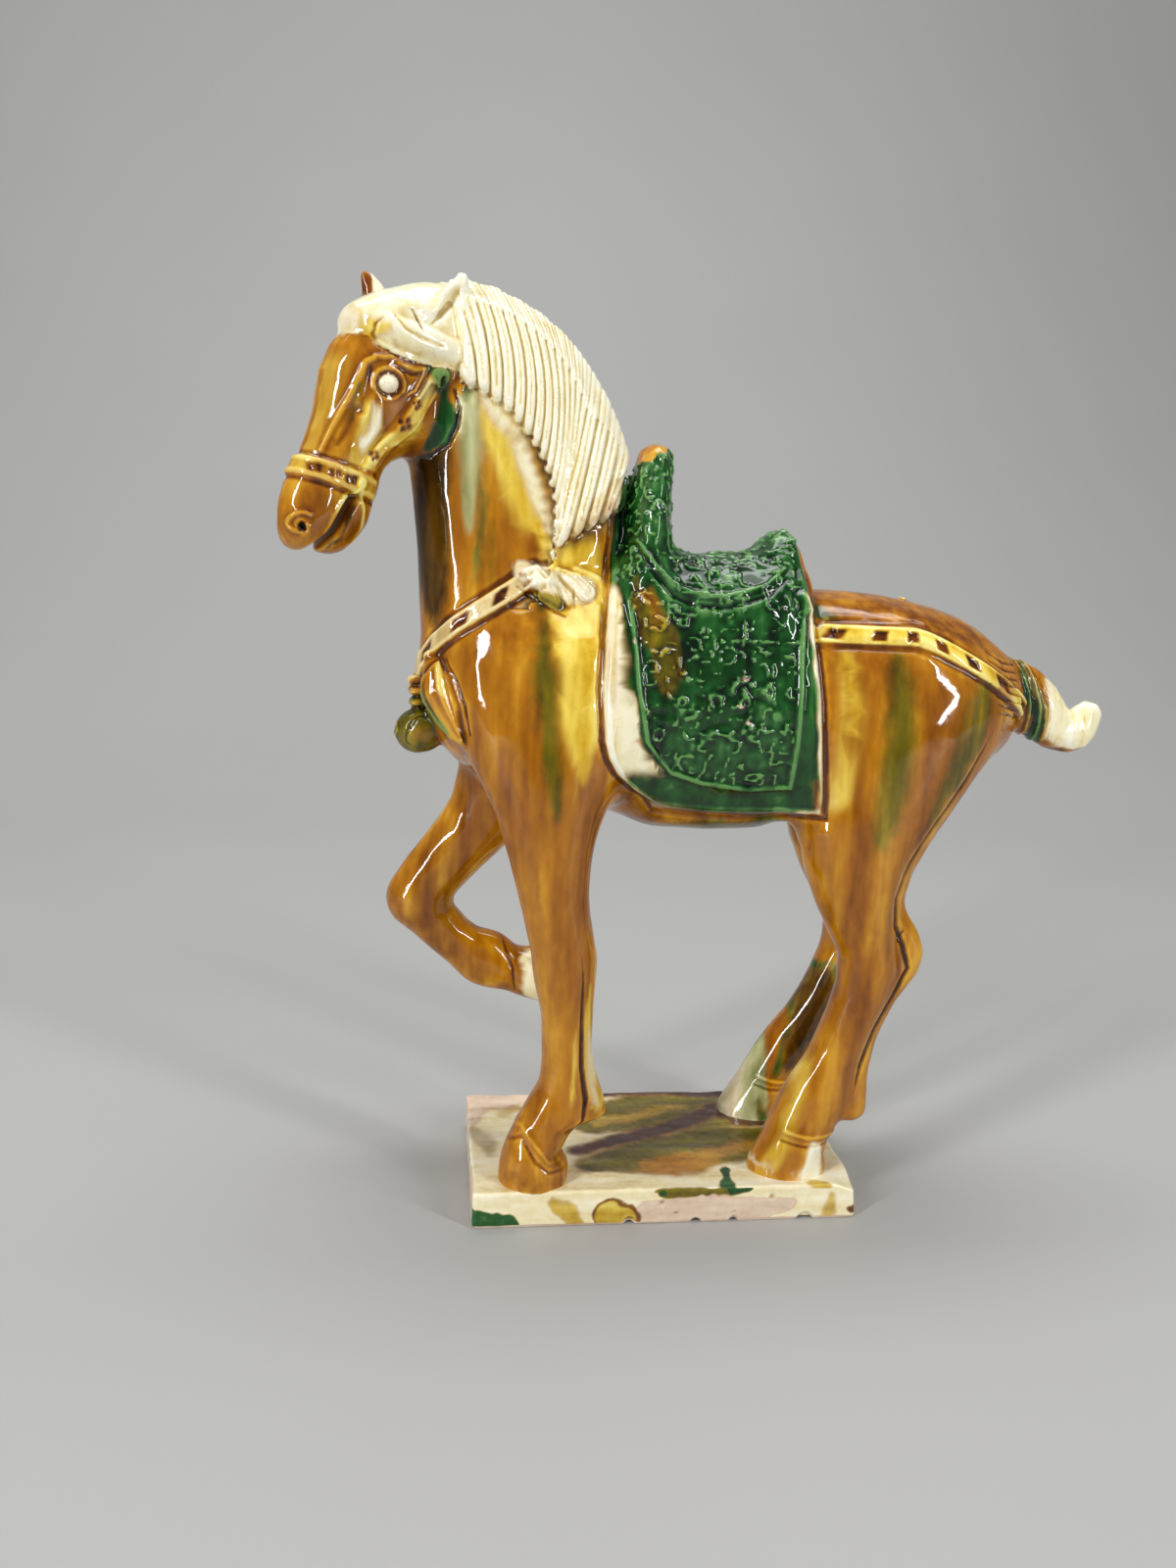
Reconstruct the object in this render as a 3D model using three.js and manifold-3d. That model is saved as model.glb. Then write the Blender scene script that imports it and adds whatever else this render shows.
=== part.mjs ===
// A standing horse in glazed earthenware, fired in one with the slab under its hooves.
// Millimetres, +Z up. The origin is the middle of the slab's underside, the head points to -X,
// and the near flank, which the head turns to, is at -Y.

import * as THREE from "three";
import { mergeVertices } from "three/addons/utils/BufferGeometryUtils.js";
import Module from "manifold-3d";

// The slab
const SLAB_LENGTH = 121.6;
const SLAB_DEPTH = 68.2;
const SLAB_HEIGHT = 12;
const SLAB_EDGE = 1.4;
const HOOF_SUNK = 3;

// The head turns to the near side about an upright line through the poll
const POLL_X = -76;
const POLL_Y = -1;
const HEAD_TURN = THREE.MathUtils.degToRad(30);

// How far the far hock stands behind the near one
const HIND_SPREAD = 9;

// Fullness of the fillets where the clay forms run into each other
const JOIN_BODY = 11;
const JOIN_NECK = 9;
const JOIN_HEAD = 5;
const JOIN_LIMB = 3;
const JOIN_TENDON = 2;

// Saddle cloth
const CLOTH_THICK = 2.6;
const CLOTH_FRONT = -26;
const CLOTH_REAR = 40;
const CLOTH_HEM = 128.5;
const SADDLE_JOIN = 12;

// The cloth lies against the hide with only this much of a fillet
const CLOTH_JOIN = 0.8;

// Mane: its lower edge on the neck is an arc
const MANE_ARC = { x: -79.7, z: 210.5, radius: 39.3 };
const MANE_LOCKS = 18;
const MANE_FRONT_X = -73;
const MANE_REAR_X = -20.5;
const MANE_HEM_X = -24;
const MANE_HEM_Z = 214;
const MANE_THICK = 2.2;
const LOCK_RELIEF = 1.4;

// Harness
const STRAP_WIDTH = 5.2;
const STRAP_THICK = 1.3;

// Fineness of the worked-out skin
const SKIN_STEP = 1.5;
const SKIN_TRIANGLES = 5200;
const FIGURE_TRIANGLES = 9700;
const HEAD_FINENESS = 5;
const HAIR = 0.06;

const GLAZE = { color: 0xa8670f, roughness: 0.2, metalness: 0 };

const wasm = await Module();
wasm.setup();

// Stations of a limb are rows of centre x, y, z, half depth in the limb's own plane, half width across it.
function refined(stations, steps) {
  const rows = [];
  const at = (i) => stations[Math.min(Math.max(i, 0), stations.length - 1)];
  for (let i = 0; i + 1 < stations.length; i++) {
    for (let k = 0; k < steps; k++) {
      const t = k / steps;
      rows.push(at(i).map((_, c) => {
        const [p, q, r, s] = [at(i - 1)[c], at(i)[c], at(i + 1)[c], at(i + 2)[c]];
        return q + 0.5 * t * (r - p + t * (2 * p - 5 * q + 4 * r - s + t * (3 * (q - r) + s - p)));
      }));
    }
  }
  rows.push(at(stations.length - 1));
  return rows;
}

// The field of a limb of oval section: about the distance to its surface, negative inside.
// Further off than FAR it is only the distance to the limb's box.
const FAR = 14;
function limb(stations, { across = [0, 1, 0], steps = 3 } = {}) {
  const rows = refined(stations, steps);
  const side = new THREE.Vector3(...across);
  const box = new THREE.Box3();
  const pieces = rows.slice(1).map((to, i) => {
    const from = rows[i];
    const start = new THREE.Vector3(...from);
    const end = new THREE.Vector3(...to);
    const radius = Math.max(from[3], from[4], to[3], to[4]);
    for (const middle of [start, end]) {
      box.expandByPoint(middle.clone().addScalar(radius));
      box.expandByPoint(middle.clone().addScalar(-radius));
    }
    const along = end.clone().sub(start);
    const length = along.length();
    along.divideScalar(length);
    const normal = side.clone().cross(along).normalize();
    const wide = along.clone().cross(normal);
    const middle = start.clone().lerp(end, 0.5);
    const ball = radius + length / 2;
    return { start, along, length, normal, wide, from, to, middle, ball };
  });
  return (x, y, z) => {
    const bx = Math.max(box.min.x - x, x - box.max.x, 0);
    const by = Math.max(box.min.y - y, y - box.max.y, 0);
    const bz = Math.max(box.min.z - z, z - box.max.z, 0);
    const off = Math.max(bx, by, bz);
    if (off > FAR) return off;
    let nearest = Infinity;
    for (const p of pieces) {
      const reach = nearest + p.ball;
      const mx = x - p.middle.x;
      const my = y - p.middle.y;
      const mz = z - p.middle.z;
      if (reach > 0 && mx * mx + my * my + mz * mz > reach * reach) continue;
      const dx = x - p.start.x;
      const dy = y - p.start.y;
      const dz = z - p.start.z;
      const run = dx * p.along.x + dy * p.along.y + dz * p.along.z;
      const t = Math.min(Math.max(run / p.length, 0), 1);
      const depth = p.from[3] + t * (p.to[3] - p.from[3]);
      const width = p.from[4] + t * (p.to[4] - p.from[4]);
      const cap = Math.min(depth, width);
      const a = (dx * p.normal.x + dy * p.normal.y + dz * p.normal.z) / depth;
      const b = (dx * p.wide.x + dy * p.wide.y + dz * p.wide.z) / width;
      const c = (run - t * p.length) / cap;
      const k = Math.sqrt(a * a + b * b + c * c);
      const slope = Math.sqrt((a / depth) ** 2 + (b / width) ** 2 + (c / cap) ** 2);
      const value = slope > 1e-9 ? (k * (k - 1)) / slope : -cap;
      if (value < nearest) nearest = value;
    }
    return nearest;
  };
}

function joined(a, b, round) {
  const h = Math.max(round - Math.abs(a - b), 0) / round;
  return Math.min(a, b) - (h * h * round) / 4;
}

const cutTo = (a, b, round) => -joined(-a, -b, round);

// Barrel, from the chest to the buttocks
const barrel = limb([
  [-57.5, 0, 156, 22, 19],
  [-45, 0, 160, 31.5, 25],
  [-22, 0, 160, 35.5, 28],
  [10, 0, 158, 36.5, 29],
  [40, 0, 159.5, 35.5, 28],
  [60, 0, 161.5, 33, 28.5],
  [80, 0, 161, 29, 25],
  [93, 0, 161, 22, 19],
]);

// Neck: a broad curved plate from the withers to the poll, and the fuller windpipe in front of it
const crest = limb([
  [-50, 0, 170, 28, 20],
  [-49.5, 0, 187, 29.5, 17],
  [-49, 0, 204, 31, 14],
  [-50, 0, 219, 31.5, 12],
  [-54.5, -0.5, 234, 30, 11],
  [-62, -1, 247, 27, 10.5],
  [-71, -1.5, 256, 21.5, 10.5],
  [-81, -2, 261, 15, 11],
]);
const windpipe = limb([
  [-57, 0, 163, 17, 20],
  [-60.5, 0, 182, 14.5, 16.5],
  [-63.5, 0, 203, 12.5, 13.5],
  [-66, -0.5, 224, 12, 11],
  [-67, -1, 240, 11, 10],
]);

const nearForeLeg = limb([
  [-42, -15, 168, 24, 13],
  [-42, -19, 150, 23, 12.5],
  [-40.5, -21.5, 133, 18, 11.5],
  [-39.7, -23, 117, 13.2, 10],
  [-38, -23.5, 101, 10.5, 9],
  [-35.2, -23.5, 88, 9.8, 8.8],
  [-34.2, -23.5, 78, 9.5, 8.8],
  [-33.4, -23.5, 66, 7.7, 7.3],
  [-32.8, -23.5, 53, 7.3, 6.8],
  [-32.3, -23.5, 43, 8.6, 7.2],
  [-33, -23.5, 33.5, 11.5, 8.6],
  [-38.5, -23.5, 25, 10.5, 8.8],
  [-41.3, -24, 17, 10.8, 9.8],
  [-41.5, -24, 8, 11.2, 10.3],
]);

const raisedForearm = limb([
  [-44, 15, 160, 22, 13],
  [-49, 18, 140, 17, 12],
  [-56, 20, 120, 13, 10.5],
  [-65.5, 21, 107, 11, 9.3],
  [-74, 21.5, 96.5, 10.3, 8.8],
  [-79.5, 22, 88.5, 10, 8.8],
]);
const raisedCannon = limb([
  [-79, 22, 87.5, 9.5, 8.6],
  [-70, 22, 77.5, 8, 7.4],
  [-62.5, 22, 71, 8, 7.2],
  [-55.5, 22, 67, 10, 8.2],
  [-47, 22, 63.5, 8, 7.5],
  [-40, 22, 62, 9, 9],
  [-31, 22, 60.5, 10, 10],
]);

const NEAR_HIND = [
  [74, -13, 165, 25, 14],
  [65, -17, 145, 26, 14.5],
  [57, -19, 125, 21, 13.5],
  [55.5, -20.5, 110, 15.5, 11.5],
  [57.5, -21, 97, 11.5, 10],
  [61, -21, 87, 9.5, 9],
  [62, -21, 79, 9.5, 8.8],
  [60, -21, 69, 8.3, 8.2],
  [56, -21, 57, 8, 7.5],
  [52, -21, 46, 8.4, 7.5],
  [49, -21, 37, 10.5, 8.3],
  [45, -21, 28, 10.5, 8.8],
  [42, -21, 19, 10.6, 9.5],
  [40.5, -21, 9, 14, 10.5],
];
const nearHindLeg = limb(NEAR_HIND);

// The far hind leg stands a little further back from the stifle to the hock
function asFarHind(stations) {
  return stations.map(([x, y, z, d, w]) => {
    const back = HIND_SPREAD * Math.max(0, Math.sin((Math.PI * (z - SLAB_HEIGHT)) / 150));
    return [x + back, -y - 1.5, z, d, w];
  });
}
const farHindLeg = limb(asFarHind(NEAR_HIND));

// Tendons behind the cannons, and the hamstrings down to the points of the hocks
const nearForeTendon = limb([
  [-27.5, -23.5, 84, 3, 3.6],
  [-27.5, -23.5, 66, 2.6, 3.2],
  [-27, -23.5, 50, 2.8, 3.2],
  [-24.5, -23.5, 39, 4, 4],
  [-23.5, -23.5, 31.5, 4.6, 4.6],
]);
const NEAR_HIND_TENDON = [
  [92, -14, 152, 7, 7],
  [80.5, -17, 132, 6, 6],
  [70.5, -20, 113, 4.8, 4.8],
  [68, -21, 99, 4.2, 4.2],
  [73.5, -21, 88, 5, 4.4],
  [74.3, -21, 80.5, 5.2, 4.6],
  [67.5, -21, 68, 4.2, 4],
  [63, -21, 55, 4, 3.8],
  [61, -21, 43, 4.4, 4],
  [60, -21, 32, 5.8, 5],
];
const nearHindTendon = limb(NEAR_HIND_TENDON);
const farHindTendon = limb(asFarHind(NEAR_HIND_TENDON));

// Docked tail, bound near the root
const tail = limb([
  [100, 0, 163, 12, 10],
  [110, 0, 164, 11.5, 8.5],
  [119, 0, 160, 9.6, 7.5],
  [127, 0, 153, 7, 6.5],
  [134, 0, 152.5, 6.5, 6],
  [137.5, 0, 158, 5, 5],
]);

// A point of the head: u forward of the poll, s towards the near side, z up
const FORWARD = new THREE.Vector3(-Math.cos(HEAD_TURN), -Math.sin(HEAD_TURN), 0);
const LEFT = new THREE.Vector3(Math.sin(HEAD_TURN), -Math.cos(HEAD_TURN), 0);
function headPoint(u, s, z) {
  return new THREE.Vector3(POLL_X, POLL_Y, z).addScaledVector(FORWARD, u).addScaledVector(LEFT, s);
}
function headLimb(stations, steps = 3) {
  const placed = stations.map(([u, s, z, d, w]) => [...headPoint(u, s, z).toArray(), d, w]);
  return limb(placed, { across: LEFT.toArray(), steps });
}

const skull = headLimb([
  [7, 0, 257, 14, 11.5],
  [20.5, 0, 247.5, 14.4, 12],
  [26.5, 0, 236, 11.2, 10],
  [31.5, 0, 225, 9.8, 8.6],
  [36, 0, 215, 10.4, 8.8],
  [39.5, 0, 208.5, 8.8, 8.3],
  [42, 0, 205, 5.6, 7.4],
]);
const cheek = headLimb([
  [14, 0, 247, 12, 10.5],
  [12, 0, 240, 11.5, 10.4],
]);
const lowerJaw = headLimb([
  [12, 0, 236, 8, 9],
  [21, 0, 229, 6.5, 7.5],
  [26, 0, 219, 6.4, 6.8],
  [28.3, 0, 211, 7, 6.8],
  [32.2, 0, 205.3, 6, 6.2],
]);
const forelock = headLimb([
  [6, 0, 262, 12, 12.5],
  [15.5, 0, 263.5, 8.6, 12],
  [23.5, 0, 261.8, 6.2, 9],
]);
const mouth = headLimb([
  [29, 0, 216.5, 1.3, 16],
  [33, 0, 209, 1.6, 16],
  [38.5, 0, 201.5, 1.5, 16],
  [42, 0, 197, 1.5, 16],
]);

function headField(x, y, z) {
  let f = joined(skull(x, y, z), cheek(x, y, z), JOIN_HEAD);
  f = joined(f, lowerJaw(x, y, z), JOIN_HEAD);
  f = cutTo(f, -mouth(x, y, z), 1);
  return joined(f, forelock(x, y, z), 1.5);
}

function bodyField(x, y, z) {
  let f = barrel(x, y, z);
  f = joined(f, nearForeLeg(x, y, z), JOIN_BODY);
  f = joined(f, raisedForearm(x, y, z), JOIN_BODY);
  f = joined(f, nearHindLeg(x, y, z), JOIN_BODY);
  f = joined(f, farHindLeg(x, y, z), JOIN_BODY);
  f = joined(f, raisedCannon(x, y, z), JOIN_LIMB);
  f = joined(f, nearForeTendon(x, y, z), JOIN_TENDON);
  f = joined(f, nearHindTendon(x, y, z), JOIN_TENDON);
  f = joined(f, farHindTendon(x, y, z), JOIN_TENDON);
  f = joined(f, tail(x, y, z), JOIN_LIMB);
  return f;
}

function neckField(x, y, z) {
  return joined(crest(x, y, z), windpipe(x, y, z), JOIN_NECK);
}

function horseField(x, y, z) {
  let f = joined(bodyField(x, y, z), neckField(x, y, z), JOIN_NECK);
  return joined(f, headField(x, y, z), JOIN_HEAD);
}

// The saddle cloth hangs over the back: a front edge that swings back at the hem, and a straight rear edge
function clothField(x, y, z) {
  const swing = Math.max(150 - z, 0);
  const front = CLOTH_FRONT + 0.045 * swing * swing - x;
  const rear = x - (CLOTH_REAR - 0.11 * Math.max(z - 135, 0));
  const hem = CLOTH_HEM + 0.0016 * (x - 20) * (x - 20) - z;
  const edge = cutTo(cutTo(front, hem, 4), rear, 4);
  return cutTo(bodyField(x, y, z) - CLOTH_THICK, edge, 2);
}

// Saddle under the cloth: a high pommel, a dipped seat and a cantle, arched over the back
const pommel = limb([
  [-10.5, 0, 230.5, 5.4, 11],
  [-12, 0, 216, 7, 17],
  [-13, 0, 197, 8, 21],
]);
const cantle = limb([
  [29, 0, 206.5, 6, 12],
  [27, 0, 197, 8, 18],
  [23, 0, 186, 9, 22],
]);
const seat = limb([
  [-9, 0, 190, 12, 21],
  [10, 0, 190, 14, 23],
  [24, 0, 189, 12, 22],
]);
function saddleField(x, y, z) {
  const arches = joined(pommel(x, y, z), cantle(x, y, z), 6);
  return joined(arches, seat(x, y, z), 9);
}

function wholeField(x, y, z) {
  const dressed = joined(clothField(x, y, z), saddleField(x, y, z), SADDLE_JOIN);
  const inSlab = SLAB_HEIGHT - HOOF_SUNK - z;
  return Math.max(joined(horseField(x, y, z), dressed, CLOTH_JOIN), inSlab);
}

// From a grid point, the next one along each axis and the four cells round the edge to it
const GRID_EDGES = [
  { to: [1, 0, 0], cells: [[0, -1, -1], [0, 0, -1], [0, 0, 0], [0, -1, 0]] },
  { to: [0, 1, 0], cells: [[-1, 0, -1], [-1, 0, 0], [0, 0, 0], [0, 0, -1]] },
  { to: [0, 0, 1], cells: [[-1, -1, 0], [0, -1, 0], [0, 0, 0], [-1, 0, 0]] },
];

// The skin of a field: one vertex in each grid cell that the surface crosses, drawn onto the surface
function skinOf(field, low, high, step) {
  const count = [0, 1, 2].map((c) => Math.ceil((high[c] - low[c]) / step) + 1);
  const [nx, ny, nz] = count;
  const index = (i, j, k) => (i * ny + j) * nz + k;
  const value = new Float32Array(nx * ny * nz);
  const block = 6;
  const reach = block * step * 1.3;
  for (let bi = 0; bi < nx; bi += block) {
    for (let bj = 0; bj < ny; bj += block) {
      for (let bk = 0; bk < nz; bk += block) {
        const middle = [bi, bj, bk].map((b, c) => low[c] + (b + block / 2) * step);
        const there = field(...middle);
        const far = Math.abs(there) > reach;
        for (let i = bi; i < Math.min(bi + block, nx); i++) {
          for (let j = bj; j < Math.min(bj + block, ny); j++) {
            for (let k = bk; k < Math.min(bk + block, nz); k++) {
              value[index(i, j, k)] = far
                ? there
                : field(low[0] + i * step, low[1] + j * step, low[2] + k * step);
            }
          }
        }
      }
    }
  }
  const cellVertex = new Map();
  const points = [];
  const vertexOf = (i, j, k) => {
    const key = index(i, j, k);
    const known = cellVertex.get(key);
    if (known !== undefined) return known;
    const sum = [0, 0, 0];
    let crossings = 0;
    for (let a = 0; a < 8; a++) {
      for (let c = 0; c < 3; c++) {
        if (a & (1 << c)) continue;
        const b = a | (1 << c);
        const p = [a & 1, (a >> 1) & 1, (a >> 2) & 1];
        const va = value[index(i + p[0], j + p[1], k + p[2])];
        const vb = value[index(i + (b & 1), j + ((b >> 1) & 1), k + ((b >> 2) & 1))];
        if (va < 0 === vb < 0) continue;
        const t = va / (va - vb);
        for (let m = 0; m < 3; m++) sum[m] += p[m] + (m === c ? t : 0);
        crossings++;
      }
    }
    const made = points.length;
    points.push([i, j, k].map((n, m) => low[m] + (n + sum[m] / crossings) * step));
    cellVertex.set(key, made);
    return made;
  };
  const faces = [];
  const quad = (a, b, c, d, flip) => {
    if (flip) [b, d] = [d, b];
    const shortAC = distance2(points[a], points[c]) <= distance2(points[b], points[d]);
    if (shortAC) faces.push([a, b, c], [a, c, d]);
    else faces.push([a, b, d], [b, c, d]);
  };
  for (let i = 1; i + 1 < nx; i++) {
    for (let j = 1; j + 1 < ny; j++) {
      for (let k = 1; k + 1 < nz; k++) {
        const inside = value[index(i, j, k)] < 0;
        for (const { to, cells } of GRID_EDGES) {
          const beyond = value[index(i + to[0], j + to[1], k + to[2])] < 0;
          if (inside === beyond) continue;
          const ring = cells.map(([a, b, c]) => vertexOf(i + a, j + b, k + c));
          quad(...ring, !inside);
        }
      }
    }
  }
  return { points, faces };
}

const distance2 = (a, b) => (a[0] - b[0]) ** 2 + (a[1] - b[1]) ** 2 + (a[2] - b[2]) ** 2;

// Symmetric 4 by 4 error matrices of planes, as ten numbers
function planeError(a, b, c, weight) {
  const u = b.map((v, i) => v - a[i]);
  const v = c.map((w, i) => w - a[i]);
  const n = [u[1] * v[2] - u[2] * v[1], u[2] * v[0] - u[0] * v[2], u[0] * v[1] - u[1] * v[0]];
  const size = Math.hypot(...n);
  if (size < 1e-12) return new Array(10).fill(0);
  const [x, y, z] = n.map((k) => k / size);
  const d = -(x * a[0] + y * a[1] + z * a[2]);
  const products = [x * x, x * y, x * z, x * d, y * y, y * z, y * d, z * z, z * d, d * d];
  return products.map((k) => k * size * weight);
}
function errorAt(q, [x, y, z]) {
  return q[0] * x * x + 2 * q[1] * x * y + 2 * q[2] * x * z + 2 * q[3] * x
    + q[4] * y * y + 2 * q[5] * y * z + 2 * q[6] * y + q[7] * z * z + 2 * q[8] * z + q[9];
}
function leastErrorPoint(q, fallback) {
  const [a, b, c, d, e, f, g, h, i] = q;
  const det = a * (e * h - f * f) - b * (b * h - f * c) + c * (b * f - e * c);
  if (Math.abs(det) < 1e-6 * (a + e + h) ** 3) return fallback;
  const x = -(d * (e * h - f * f) - b * (g * h - f * i) + c * (g * f - e * i)) / det;
  const y = -(a * (g * h - f * i) - d * (b * h - f * c) + c * (b * i - g * c)) / det;
  const z = -(a * (e * i - g * f) - b * (b * i - g * c) + d * (b * f - e * c)) / det;
  return [x, y, z];
}

// Fewer triangles with the same form: the edges that matter least are closed up first
function thinned({ points, faces }, target, weightAt = () => 1) {
  const place = points.map((p) => [...p]);
  const corner = faces.map((f) => [...f]);
  const live = new Uint8Array(faces.length).fill(1);
  const around = place.map(() => new Set());
  const error = place.map(() => new Array(10).fill(0));
  corner.forEach((f, i) => {
    const q = planeError(...f.map((v) => place[v]), weightAt(place[f[0]]));
    for (const v of f) {
      around[v].add(i);
      for (let k = 0; k < 10; k++) error[v][k] += q[k];
    }
  });
  const age = new Uint32Array(place.length);
  const heap = [];
  const push = (item) => {
    heap.push(item);
    for (let i = heap.length - 1; i > 0;) {
      const up = (i - 1) >> 1;
      if (heap[up].cost <= heap[i].cost) break;
      [heap[up], heap[i]] = [heap[i], heap[up]];
      i = up;
    }
  };
  const pop = () => {
    const top = heap[0];
    const last = heap.pop();
    if (heap.length) {
      heap[0] = last;
      for (let i = 0; ;) {
        let least = i;
        for (const k of [2 * i + 1, 2 * i + 2]) {
          if (k < heap.length && heap[k].cost < heap[least].cost) least = k;
        }
        if (least === i) break;
        [heap[least], heap[i]] = [heap[i], heap[least]];
        i = least;
      }
    }
    return top;
  };
  const consider = (a, b) => {
    const q = error[a].map((k, i) => k + error[b][i]);
    const half = place[a].map((k, i) => (k + place[b][i]) / 2);
    let to = leastErrorPoint(q, half);
    const span = distance2(place[a], place[b]);
    if (distance2(to, half) > 4 * span) to = half;
    const cost = Math.max(errorAt(q, to), 0) + 1e-4 * span * span;
    push({ cost, a, b, to, ageA: age[a], ageB: age[b] });
  };
  const neighbours = (v) => {
    const found = new Set();
    for (const f of around[v]) for (const w of corner[f]) if (w !== v) found.add(w);
    return found;
  };
  const turns = (v, other, to) => {
    for (const f of around[v]) {
      if (corner[f].includes(other)) continue;
      const before = corner[f].map((w) => place[w]);
      const after = corner[f].map((w) => (w === v ? to : place[w]));
      const [m, n] = [before, after].map(([p, q, r]) => {
        const u = q.map((k, i) => k - p[i]);
        const w = r.map((k, i) => k - p[i]);
        const c = [u[1] * w[2] - u[2] * w[1], u[2] * w[0] - u[0] * w[2], u[0] * w[1] - u[1] * w[0]];
        const size = Math.hypot(...c) || 1e-12;
        return c.map((k) => k / size);
      });
      if (m[0] * n[0] + m[1] * n[1] + m[2] * n[2] < 0.35) return true;
    }
    return false;
  };
  corner.forEach((f) => f.forEach((v, i) => {
    const w = f[(i + 1) % 3];
    if (v < w) consider(v, w);
  }));
  let left = faces.length;
  while (left > target && heap.length) {
    const { a, b, to, ageA, ageB } = pop();
    if (age[a] !== ageA || age[b] !== ageB) continue;
    const aroundA = neighbours(a);
    const shared = [...neighbours(b)].filter((v) => aroundA.has(v));
    if (shared.length !== 2 || turns(a, b, to) || turns(b, a, to)) continue;
    for (const f of [...around[b]]) {
      if (corner[f].includes(a)) {
        live[f] = 0;
        for (const v of corner[f]) around[v].delete(f);
        left--;
      } else {
        corner[f] = corner[f].map((v) => (v === b ? a : v));
        around[b].delete(f);
        around[a].add(f);
      }
    }
    place[a] = to;
    error[a] = error[a].map((k, i) => k + error[b][i]);
    age[b] = 0xffffffff;
    age[a]++;
    for (const v of neighbours(a)) consider(a, v);
  }
  const kept = corner.filter((f, i) => live[i]);
  const number = new Map();
  const keptPoints = [];
  const renumbered = kept.map((f) => f.map((v) => {
    if (!number.has(v)) {
      number.set(v, keptPoints.length);
      keptPoints.push(place[v]);
    }
    return number.get(v);
  }));
  return { points: keptPoints, faces: renumbered };
}

function solidOf({ points, faces }) {
  const vertProperties = new Float32Array(points.flat());
  const triVerts = new Uint32Array(faces.flat());
  const solid = new wasm.Manifold(new wasm.Mesh({ numProp: 3, vertProperties, triVerts }));
  if (solid.volume() <= 0) throw new Error("a piece of the figure is inside out");
  return solid;
}

function solidOfGeometry(geometry) {
  geometry.deleteAttribute("normal");
  geometry.deleteAttribute("uv");
  const merged = mergeVertices(geometry, 1e-3);
  const vertProperties = new Float32Array(merged.attributes.position.array);
  const triVerts = new Uint32Array(merged.index.array);
  return new wasm.Manifold(new wasm.Mesh({ numProp: 3, vertProperties, triVerts }));
}

// A small form of its own: its field, the box that holds it and its share of triangles
function smallForm(field, low, high, step, triangles) {
  return solidOf(thinned(skinOf(field, low, high, step), triangles));
}

// The outward direction of a field
function outward(field, p) {
  const e = 0.4;
  return new THREE.Vector3(
    field(p.x + e, p.y, p.z) - field(p.x - e, p.y, p.z),
    field(p.x, p.y + e, p.z) - field(p.x, p.y - e, p.z),
    field(p.x, p.y, p.z + e) - field(p.x, p.y, p.z - e),
  ).normalize();
}

// Where a straight way from outside first meets a field
function meets(field, from, direction, longest = 90) {
  const p = from.clone();
  let gone = 0;
  while (gone < longest) {
    const f = field(p.x, p.y, p.z);
    if (f < 0.01) return p;
    const go = Math.max(Math.min(0.5 * f, 4), 0.05);
    p.addScaledVector(direction, go);
    gone += go;
  }
  return null;
}

// A point of the surface at a height, seen from an upright axis at x: 0 is the near side, 90 the tail side
function aroundAxis(field, x, degrees, z) {
  const angle = THREE.MathUtils.degToRad(degrees);
  const out = new THREE.Vector3(Math.sin(angle), -Math.cos(angle), 0);
  const from = new THREE.Vector3(x, 0, z).addScaledVector(out, 80);
  return meets(field, from, out.negate());
}

// A closed body of rings of points
function ringBody(rings) {
  const size = rings[0].length;
  const points = rings.flat().map((p) => p.toArray());
  const faces = [];
  for (let i = 0; i + 1 < rings.length; i++) {
    for (let k = 0; k < size; k++) {
      const a = i * size + k;
      const b = i * size + ((k + 1) % size);
      faces.push([a, b, b + size], [a, b + size, a + size]);
    }
  }
  const last = (rings.length - 1) * size;
  for (let k = 1; k + 1 < size; k++) {
    faces.push([0, k + 1, k], [last, last + k, last + k + 1]);
  }
  return facingOut({ points, faces });
}

function facingOut(body) {
  let volume = 0;
  for (const [a, b, c] of body.faces) {
    const [p, q, r] = [body.points[a], body.points[b], body.points[c]];
    volume += p[0] * (q[1] * r[2] - q[2] * r[1]);
    volume += p[1] * (q[2] * r[0] - q[0] * r[2]);
    volume += p[2] * (q[0] * r[1] - q[1] * r[0]);
  }
  if (volume < 0) for (const f of body.faces) f.reverse();
  return body;
}

// A flat strap laid along surface points
function strap(field, path, width, thick) {
  const rings = path.map((p, i) => {
    const along = path[Math.min(i + 1, path.length - 1)].clone().sub(path[Math.max(i - 1, 0)]).normalize();
    const out = outward(field, p);
    const side = along.clone().cross(out).normalize();
    const at = (across, height) => p.clone().addScaledVector(side, across).addScaledVector(out, height);
    const half = width / 2;
    return [at(-half, -2.5), at(-half, thick * 0.7), at(-half + 0.7, thick), at(half - 0.7, thick),
      at(half, thick * 0.7), at(half, -2.5)];
  });
  return solidOf(ringBody(rings));
}

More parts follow.
